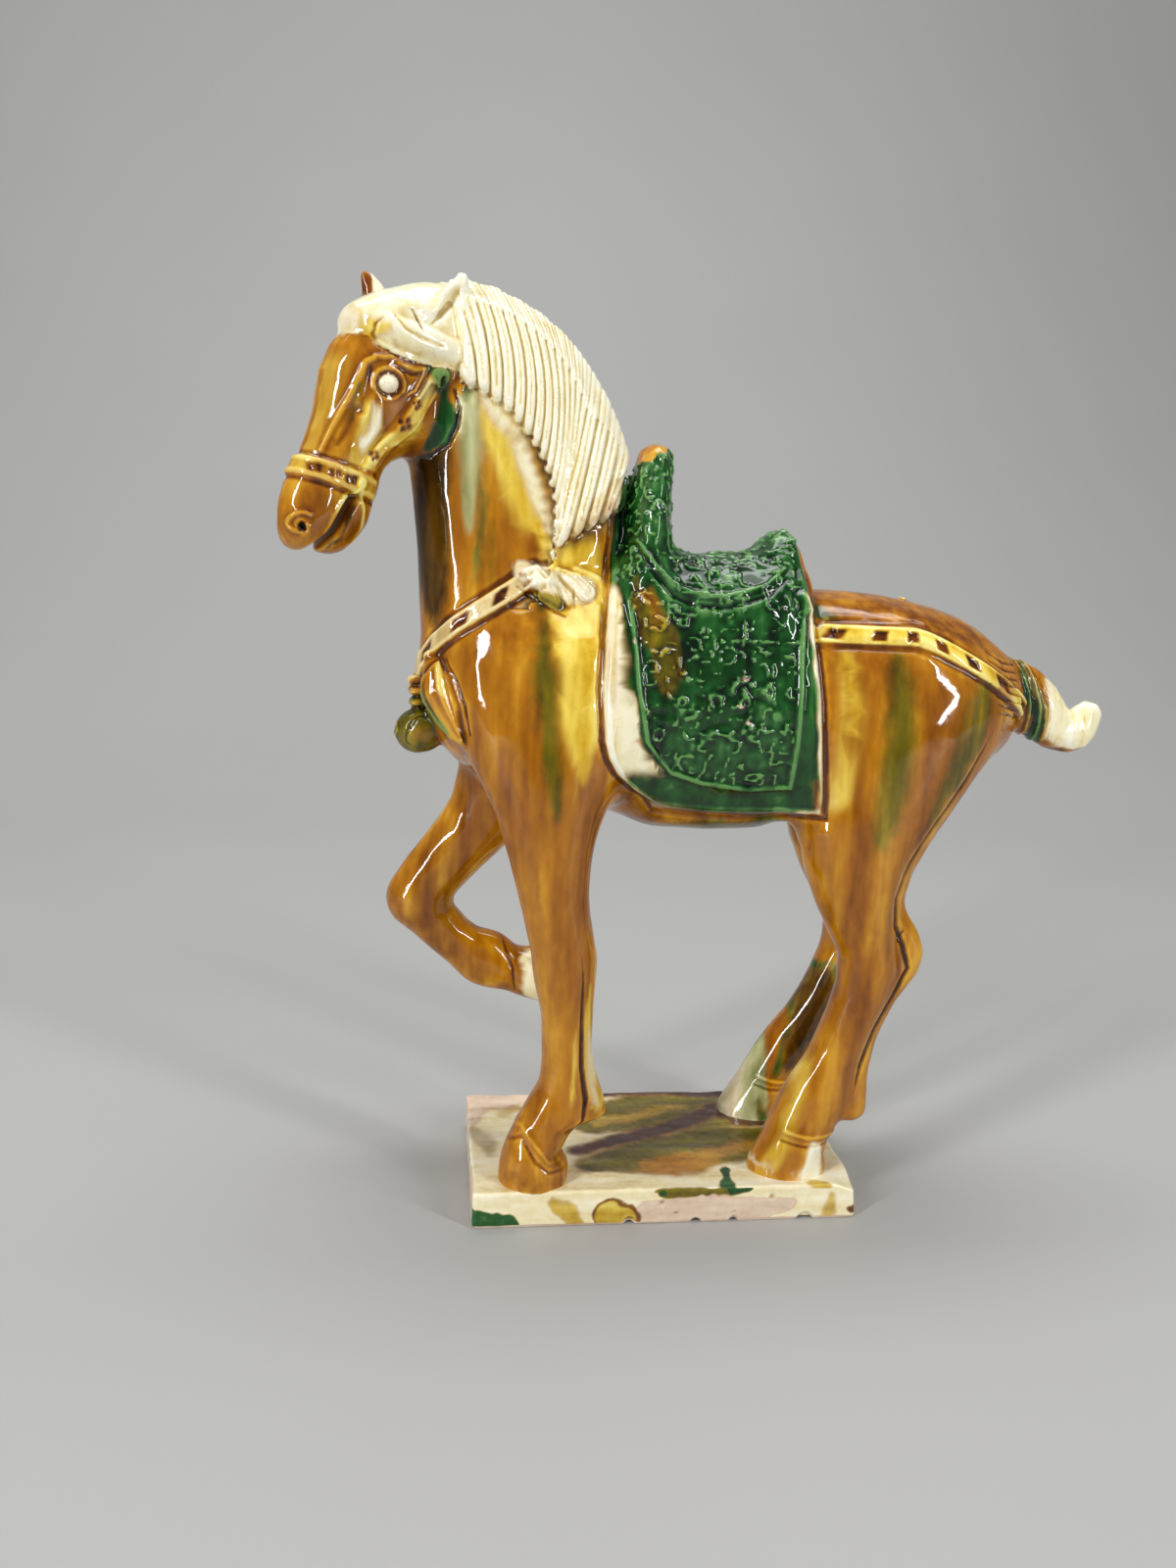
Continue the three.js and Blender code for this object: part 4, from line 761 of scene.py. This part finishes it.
clay.glaze("brown", U, Z, [(7.6, 264.6, 0.6), (5.6, 265.8, 1.0), (3.2, 267.6, 0.6)], 1.6, ear, 0.35)
# Painted shade: brown in the carved hollow between the ear and the brow lock
clay.glaze("brown", U, Z, [(13.4, 263.6, 0.5), (12.4, 261, 0.5)], 1.0, ear, 0.5)
clay.glaze("brown", U, Z, [(17.4, 279, 1.6), (17.2, 274, 1.8), (17.5, 271, 1)], 0.8, hair & (S < -6), 0.9)

# Harness: the breast strap runs round the chest and the cruppers round the rump, each pressed with a row of
# small flowers that the brown glaze fills
for course, span, where in (
    (breast_strap, (-189, 9), trunk & (X < -28) & (Z > 155) & (Z < 205)),
    (crupper, (-58, 78), trunk & (X > 36) & (Z > 150)),
):
    angle, across, radius = course(X, Y, Z)
    hit = np.flatnonzero(where & (abs(across) < 6) & (angle > span[0]) & (angle < span[1]))
    a, d = angle[hit], abs(across[hit])
    beat = (a / 20.5) % 1 - 0.5
    uneven = clay.wander(3, 41)[hit]
    pit = smooth((0.27 - abs(beat)) / 0.16) * smooth((1.9 - d) / 1.0) * smooth((uneven + 0.25) / 0.4)
    clay.lift(hit, 0.5 * smooth((3.0 - d) / 0.9) - 0.2 * smooth((2.0 - d) / 0.8) - 0.5 * pit)
    clay.lift(hit, -0.3 * smooth((1.2 - abs(d - 3.9)) / 1.0))
    clay.cover("brown", hit, 0.35 * smooth((1.4 - abs(d - 3.6)) / 1.4))
    clay.cover("yellow", hit, 0.9 * smooth((3.1 - d) / 1.0))
    clay.cover("cream", hit, 0.45 * smooth((2.9 - d) / 1.0) * (X[hit] < 0))
    clay.cover("brown", hit, 0.85 * pit)

# Tassels: knotted at each shoulder where the breast strap ends, with two broad ribbon ends
for side in (near, far):
    spot = side & trunk & (Z > 180) & (Z < 203)
    clay.carve(1.0, X, Z, [(-51, 196.2, 2.4), (-47, 195.6, 3.6), (-42.5, 192.3, 4.0), (-39, 189, 2.6)], 2.0, spot)
    clay.carve(-0.9, X, Z, [(-52, 192.4, 0.6), (-48, 189.8, 0.9), (-43, 186.6, 1), (-38, 184.6, 0.8)], 1.4, spot)
    clay.carve(-0.6, X, Z, [(-48, 198.4, 0.4), (-44.5, 195.4, 0.7), (-41, 193, 0.4)], 0.9, spot)
    clay.carve(0.9, X, Z, [(-40, 197.4, 1.2), (-34.5, 194.6, 2.6), (-31.5, 191.4, 3.0)], 0.9, spot)
    clay.carve(-0.5, X, Z, [(-39, 197, 0.4), (-34.5, 194.4, 1.2), (-31.6, 191.4, 1.6)], 1.4, spot)
    clay.carve(0.7, X, Z, [(-39.5, 193.4, 1), (-37.2, 190.4, 1.7), (-37, 188.4, 1.3)], 0.8, spot)
    clay.carve(-0.9, X, Z, [(-35.4, 194, 0.3), (-35, 190, 0.6), (-35, 187, 0.4)], 0.8, spot)
    clay.glaze("cream", X, Z, [(-50, 197, 3), (-44, 194, 4), (-38, 192, 4), (-32, 192, 4)], 2.5, spot, 0.75)
    # Painted shade: olive along the lower side of the knot, where it shades the shoulder
    clay.glaze("olive", X, Z, [(-46, 190.4, 1.4), (-42, 188.6, 2), (-39, 187.2, 1.4)], 2, spot, 0.85)
    clay.glaze("brown", X, Z, [(-50, 195.6, 0.8)], 1.2, spot, 0.7)
    clay.glaze("brown", X, Z, [(-48.4, 194, 0.7)], 1.0, spot, 0.7)

# Pendants on the chest: a leaf with a raised rib on each side and a ribbed bell in the middle
chest = (X < -60) & (Z > 138) & (Z < 174) & ~head
sweep = 32 * np.arctan2(abs(Y + 1), -(X + 45))
leaf = chest & (sweep > 8)
clay.carve(1.3, sweep, Z, [(15.6, 170, 1), (17, 164, 4.2), (19, 157, 5.2), (22, 150.5, 3), (24.5, 146.5, 0.8)], 1.3, leaf)
clay.carve(0.7, sweep, Z, [(15.6, 169.6, 0.5), (18.0, 164, 0.8), (19.8, 158.8, 0.8), (22.4, 152, 0.6), (24, 148, 0.4)], 0.8, leaf)
clay.carve(-0.5, sweep, Z, [(14.6, 165, 0.4), (16, 159, 0.8), (19.4, 152.4, 0.4)], 1.2, leaf)
clay.carve(-0.8, sweep, Z, [(17.6, 171, 0.5), (22.6, 165, 0.9), (26, 158, 1), (27.6, 150, 0.8)], 1.4, leaf)
# Painted shadow: a brown line laid in the carved groove along the leaf's edge
clay.glaze("brown", sweep, Z, [(17.6, 171, 0.5), (23, 165, 0.8), (26.2, 158, 0.9), (27.6, 149, 0.6)], 1.6, leaf, 0.6)
clay.glaze("green", sweep, Z, [(12.5, 164, 1.5), (14.5, 157, 2.6), (19, 150, 2.2)], 2.5, leaf, 0.8)
clay.glaze("dark", sweep, Z, [(13, 160, 0.8), (16.4, 153, 1)], 2.5, leaf, 0.6)
clay.glaze("yellow", sweep, Z, [(16, 169, 0.6), (19.6, 161, 1.0)], 1.5, leaf, 0.6)
bell = chest & (X < -76) & (sweep < 9)
for z, height, reach in ((165, -0.6, 0.5), (162, -0.7, 0.5), (158.6, -0.8, 0.6), (155.6, -0.9, 0.5)):
    clay.carve(height, Y, Z, [(-9, z - 0.3, reach), (8, z - 0.3, reach)], 0.8, bell)
clay.glaze("olive", Y, Z, [(-1, 152, 8), (-1, 145, 7)], 3, chest & (X < -74) & (sweep < 11), 0.9)
clay.glaze("dark", Y, Z, [(-9, 155.2, 0.3), (8, 155.2, 0.3)], 0.8, bell, 0.8)
clay.carve(-0.6, Y, Z, [(-6, 154, 0.4), (-7.5, 149, 0.5), (-6.5, 144, 0.4)], 0.8, bell)
clay.carve(0.5, Y, Z, [(-3, 150, 0.5), (-4.6, 148, 0.6), (-3, 146, 0.5), (-1, 147.4, 0.4)], 0.7, bell)

# Saddle and cloth: the cloth hangs square behind and swings back in front, its smooth border framed by a rolled
# seam; inside it cloth and saddle are stippled, and the green glaze stands deep in the hollows
inset = cloth_inset(X, Z)
field_front = np.interp(
    Z, [134, 137, 141, 144.7, 150, 166, 183.5, 195, 210, 230],
    [6, -1, -6, -9.5, -13.8, -17.4, -19, -21, -21.5, -20],
)
field_low = np.interp(X, [-6, 4, 18, 30], [141, 137.7, 135.9, 136.8])
field = np.minimum(np.minimum(X - field_front, 31 + 0.08 * np.maximum(Z - 176, 0) - X), Z - field_low)
field = np.where(Z > 196, np.maximum(field, inset - 1), field)
on_cloth = (inset > -3) & (Z > 126) & (X < 46) & (X > -30) & (mane_edge < 9)
hit = np.flatnonzero(on_cloth)
vein = abs(clay.wander(3.2, 61)[hit] - 0.5) + 0.45 * abs(clay.wander(1.7, 62)[hit] - 0.5)
ridge = smooth(1 - vein / 0.15)
pebble = clay.wander(2.4, 63)[hit] - 0.5
plain_edge = smooth((field[hit] - 0.4) / 1.6)
seam = smooth((1.3 - abs(field[hit] - 0.2)) / 1.0) * (0.6 + 0.8 * (clay.wander(4, 64)[hit] - 0.3))
seam *= smooth((196 - Z[hit]) / 8)
clay.lift(hit, (0.75 * ridge - 0.25 + 0.6 * pebble) * plain_edge + 0.8 * seam)
clay.lift(hit, 0.45 * smooth((1.2 - abs(inset[hit] - 1.3)) / 0.9) - 0.5 * smooth((1.2 - abs(inset[hit] + 1.2)) / 0.9))
clay.cover("green", hit, smooth(inset[hit] / 0.9 + 0.5))
skirt = smooth((196 - run_z[hit]) / 6) * smooth((inset[hit] + 0.3) / 0.6)
edge_run = 2.2 * (clay.wander(5, 65)[hit] - 0.5)
front_edge = smooth((field_front[hit] - 0.8 + edge_run - X[hit]) / 2) * smooth((Z[hit] - 137) / 6)
rear_edge = smooth((2.6 + edge_run - inset[hit]) / 1.6) * (X[hit] > 30)
low_edge = smooth((3.4 + edge_run - inset[hit]) / 2.4) * smooth((14 - X[hit]) / 26) * (Z[hit] < 142)
clay.cover("cream", hit, 0.9 * skirt * np.maximum(front_edge, rear_edge))
clay.cover("cream", hit, 0.55 * skirt * low_edge)
flow("yellow", [(-24, 186, 1), (-24, 172, 1.5), (-24, 160, 0.5)], 3, on_cloth & (field < 0), 0.5)
flow("brown", [(39, 137, 0.8), (40, 130, 1)], 2, on_cloth & (inset > -1), 0.7)
flow("olive", [(-15, 190, 4), (-11, 180, 5), (-8, 168, 3)], 5, on_cloth & (field > 0.5), 0.85)
flow("brown", [(-18, 196, 1), (-13, 191, 1.5), (-12, 184, 1.5)], 4, on_cloth & (field > 0.5), 0.5)
light = smooth((ridge - 0.4) / 0.5) * smooth((field[hit] - 0.5) / 1) * smooth((-8 - X[hit]) / 8) * smooth((196 - Z[hit]) / 10)
clay.cover("cream", hit, 0.4 * light * smooth((Z[hit] - 144) / 8))
for x, z in ((14.0, 168.7), (12.9, 160.9), (15.3, 156.3), (-18.4, 178), (-16.5, 150), (-13, 146)):
    for turn in (0.3, 1.6, 2.7):
        tip = (x + 1.3 * math.cos(turn), z + 1.1 * math.sin(turn), 0.15)
        clay.glaze("bare", X, Z, [(x, z, 0.3), tip], 0.5, on_cloth & near, 0.8)
for side in (near, far):
    saddle = side & on_cloth & (Z > 184)
    lip = [(-17, 207, 0.8), (-12.2, 200, 1.2), (-6.8, 194.6, 1.4), (0, 192.4, 1.5), (8, 192, 1.5), (15, 194, 1.4), (21, 196, 1.2), (27, 201, 0.8)]
    clay.carve(1.1, X, Z, lip, 1.4, saddle)
    clay.carve(-0.9, X, Z, [(x, z - 3.0, w) for x, z, w in lip], 1.6, saddle)
    clay.carve(1.3, X, Z, [(31.5, 193, 2.2), (33, 189, 2.6)], 2.4, side & (Z > 180) & (X > 26) & (X < 40))
    clay.carve(-0.8, X, Z, [(28.6, 197, 0.5), (28.6, 190, 0.8), (30.6, 184.6, 0.6)], 1.2, side & (Z > 180) & (X < 40))

# Tail: a fan of hair at the root, a green binding with folds, and a stiff white end that curls up
tail = (X > 90) & (Z > 140)
for k in range(8):
    clay.carve(-0.5, X, Z, [(92.5 + 0.5 * k, 178.5 - 2.6 * k, 0.4), (100, 175 - 2.2 * k, 0.7), (106.5, 174 - 2.3 * k, 0.5)], 0.8, tail & (X < 107))
flow("brown", [(96, 177, 3), (99, 169, 5), (97, 160, 2)], 4, tail & (X < 108), 0.45)
flow("green", [(110.5, 177, 2.2), (113.5, 166, 2.8), (117, 156, 2.6), (120, 147, 1.6)], 2, tail, 0.9)
flow("ash", [(111.5, 176, 1.2), (114, 168, 1.6), (117.5, 158, 1)], 2.5, tail, 0.55)
for start, stop in (((108.5, 176), (115.5, 148)), ((112.5, 175), (119, 147.5)), ((115, 170), (121, 150))):
    middle = ((start[0] + stop[0]) / 2 + 1.2, (start[1] + stop[1]) / 2, 1.0)
    clay.carve(0.8, X, Z, [(*start, 0.6), middle, (*stop, 0.6)], 1.0, tail)
    clay.carve(-0.6, X, Z, [(start[0] + 1.7, start[1], 0.4), (middle[0] + 1.7, middle[1], 0.6), (stop[0] + 1.6, stop[1], 0.3)], 0.8, tail)
flow("cream", [(124, 166, 4.5), (127, 154, 6), (136, 156, 9), (140, 164, 6)], 1.8, tail & (X > 116))
clay.glaze("dark", X, Z, [(125, 146.6, 0.6), (130, 146.6, 0.7)], 1.2, tail, 0.7)
for k in range(6):
    x = 124 + 3 * k
    clay.carve(-0.18, X, Z, [(x, 170, 0.6), (x - 1.5, 158, 0.6), (x - 2, 145, 0.6)], 1.0, tail & (X > 121))

# Legs: lean cannons with a tendon behind and a full fetlock, dark in the hollows, the hooves cut with a coronet
squeeze = 1 - 0.42 * smooth((Z - 15.5) / 7) * smooth((33.5 - Z) / 4.5)
hit = np.flatnonzero(near_fore & (X > -40) & (Z < 40))
clay.skin[hit, 0] = -40 + (X[hit] + 40) * squeeze[hit]
tendon = [(-30, 86, 0.2), (-29.2, 78, 0.6), (-29, 66, 0.9), (-28.4, 50, 1.1), (-26.8, 40, 1.2), (-27.6, 32, 0.8)]
clay.carve(-1.0, X, Z, tendon, 1.6, near_fore)
flow("yellow", [(-27.5, 76, 0.2), (-26.6, 60, 1.2), (-25, 48, 2), (-22.5, 36, 2.5)], 1.6, near_fore, 0.95)
flow("cream", [(-26.6, 62, 0.5), (-25, 48, 1.2), (-23, 37, 1.8)], 1.6, near_fore, 0.6)
flow("yellow", [(-30.4, 62, 0.4), (-30.2, 46, 0.8), (-30, 36, 0.4)], 1.6, near_fore, 0.7)
clay.glaze("brown", X, Z, [(x, z, w - 0.2) for x, z, w in tendon], 1.0, near_fore, 0.85)
flow("brown", [(-30, 32, 1), (-33, 24, 1.5), (-33, 16, 1.5)], 3, near_fore, 0.5)
clay.carve(-0.5, X, Z, [(-52, 24, 0.6), (-46, 28, 1), (-41.5, 21, 1.2), (-37, 17.4, 1), (-31, 17, 0.6)], 1.4, near_fore)
clay.carve(0.4, X, Z, [(-52, 27, 0.6), (-46, 31, 1), (-40, 24, 1.2), (-36, 20.4, 1), (-31, 20, 0.6)], 1.6, near_fore)
flow("brown", [(-50, 14, 1), (-40, 13, 1.4), (-31, 14, 1.4)], 2.5, near_fore, 0.6)
for k, (x0, x1) in enumerate(((-44, -40), (-36, -36), (-52, -44))):
    flow("brown", [(x0, 118 - 8 * k, 1), ((x0 + x1) / 2, 80, 1.4), (x1, 48, 1)], 5, near_fore, 0.35)
flow("brown", [(-45, 70, 3), (-43, 50, 3), (-45, 36, 3)], 7, near_fore, 0.35)
for leg, back in ((near_hind, 0), (far_hind, 1)):
    outer = near if not back else far
    line = [(94, 155), (87, 140), (78, 127), (70.5, 114), (67.3, 103), (68, 94), (71.3, 87), (73.5, 80), (69.5, 70), (64.5, 60), (61.3, 48), (59.5, 38)]
    path = [
        (x + 9 * back * max(0, math.sin(math.pi * (z - 12) / 150)), z, 0.3 if z > 150 or z < 40 else 1.3)
        for x, z in line
    ]
    clay.carve(-1.1, X, Z, path, 1.8, (leg | (trunk & outer)) & (X > 50))
    clay.glaze("dark", X, Z, [(x, z, w - 0.5) for x, z, w in path], 2.0, (leg | (trunk & outer)) & (X > 50), 0.7)
    shift = 2.2 * back
    clay.carve(-0.5, X, Z, [(36.5 + shift, 24, 0.8), (44, 22.5, 1), (56, 22, 0.9)], 1.3, leg & (Z < 30))
    clay.carve(0.5, X, Z, [(37.5 + shift, 27, 1.2), (45, 25.5, 1.3), (57, 25, 1.2)], 1.6, leg & (Z < 33))
clay.carve(-0.6, X, Z, [(70.8, 92, 0.8), (69.4, 89, 0.9)], 1.2, near_hind)
flow("olive", [(70, 120, 1), (64, 100, 2), (66, 84, 1.5)], 6, near_hind, 0.4)
flow("brown", [(60, 96, 1.5), (60, 80, 2), (54, 60, 1.5)], 6, near_hind, 0.4)
flow("yellow", [(44, 48, 1.5), (40, 34, 2), (37, 22, 3), (33, 14, 3)], 5, near_hind, 0.65)
flow("cream", [(46.5, 21, 2), (46, 12.5, 4)], 1.8, near_hind & (Z < 25), 0.95)
flow("cream", [(55, 19, 0.8), (55.5, 13, 1.4)], 1.4, near_hind & (Z < 25), 0.9)
flow("cream", [(28, 14, 0.8), (34, 12.4, 0.8)], 1.5, near_hind & (Z < 25), 0.6)
clay.glaze("bare", run_x, run_z, [(42, 13, 1.2), (47, 13, 1)], 0.8, near_hind & (Z < 16), 0.8)
flow("dark", [(46, 96, 0.6), (52, 82, 1.2), (48, 68, 2), (44, 58, 1.5)], 4, far_hind, 0.85)
flow("green", [(60, 60, 7), (58, 50, 8), (52, 38, 5), (47, 28, 2)], 3, far_hind, 1)
flow("dark", [(60, 58, 6), (58, 48, 7), (52, 38, 4), (48, 28, 1)], 3, far_hind, 0.75)
flow("ash", [(40, 38, 3), (36, 26, 7), (36, 12, 9)], 2.5, far_hind & (Z < 42))
flow("cream", [(37, 34, 1.5), (33, 22, 3), (31, 12, 3)], 3, far_hind & (Z < 40), 0.5)
flow("green", [(40, 18, 1.5), (42, 12, 2.5)], 2.5, far_hind & (Z < 40), 0.7)
flow("cream", [(-42, 68, 3), (-36, 62, 8), (-26, 58, 12)], 2.5, raised & (X > -46))
flow("brown", [(-44, 70, 1), (-40, 66, 1), (-36, 70, 2)], 2, raised & (X > -50), 0.6)
flow("yellow", [(-71, 66, 1.2), (-68, 60, 1.5)], 2, raised, 0.6)
flow("brown", [(-80, 112, 2), (-90, 96, 3), (-78, 80, 3), (-60, 66, 3)], 6, raised, 0.4)
clay.carve(-0.7, X, Z, [(-50, 74, 0.6), (-47, 66, 0.9), (-46, 58, 0.6)], 1.3, raised)
foot = np.flatnonzero(Z < 14.5)
clay.skin[foot, 2] -= 1.4 * smooth((14.5 - Z[foot]) / 1.5)
NOSE_END = -117.5
tip = np.flatnonzero(clay.skin[:, 0] < NOSE_END)
clay.skin[tip, 0] = NOSE_END - 1.1 * (1 - np.exp((clay.skin[tip, 0] - NOSE_END) / 1.1))
clay.fired(195000, 9)

hide_glaze = new_material("three_colour_glaze_on_clay")
cream, green, olive, yellow = layer("glaze_a")
brown, bare, dark, ash = layer("glaze_b")
pool = Wire.node("ShaderNodeAttribute", {"attribute_name": "pool"}, output=2)
drip = cloud(150, (1, 1, 0.14), 2.5)
grit = cloud(420, (1, 1, 0.5), 3)
depth = drip * 0.8 + grit * 0.16 + 0.02 + (pool - 0.5) * 0.9
colour = coats_over(shades(depth, (216, 160, 40), (182, 118, 14), (146, 84, 4), (92, 46, 0)), depth, grit, (
    (yellow, ((252, 236, 140), (242, 212, 88), (214, 170, 36), (168, 112, 8))),
    (olive, ((168, 148, 36), (118, 104, 12), (78, 72, 6), (38, 38, 4))),
    (brown, ((176, 104, 22), (124, 62, 4), (88, 38, 2), (46, 18, 2))),
    (ash, ((226, 224, 180), (186, 186, 132), (140, 142, 88), (92, 98, 54))),
    (cream, ((255, 251, 228), (251, 244, 210), (244, 230, 178), (220, 192, 124))),
    (green, ((96, 146, 78), (30, 88, 34), (10, 56, 14), (2, 24, 6))),
    (dark, ((92, 62, 12), (58, 36, 4), (36, 24, 6), (16, 12, 4))),
    (bare, ((240, 218, 200), (226, 198, 176), (206, 176, 152), (170, 140, 116))),
))
cells = Wire.node("ShaderNodeTexVoronoi", {"feature": "DISTANCE_TO_EDGE"}, {
    "Vector": Wire.node("ShaderNodeTexCoord", output=3), "Scale": 420.0,
})
crackle = (1 - cells.step(0.0, 0.035)) * (cream + yellow) * grit.step(0.45, 0.6)
colour = (crackle * 0.3).mixed(colour, linear(150, 110, 60))
swell = cloud(60) * 0.6 + cloud(260) * 0.12
relief = Wire.node("ShaderNodeBump", None, {"Strength": 0.4, "Distance": 0.0006, "Height": swell})
surfaced(colour, bare * 0.4 + 0.06, relief, IOR=1.52)
horse.data.materials.append(hide_glaze)
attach(horse, "root")
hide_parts("horse_figure")
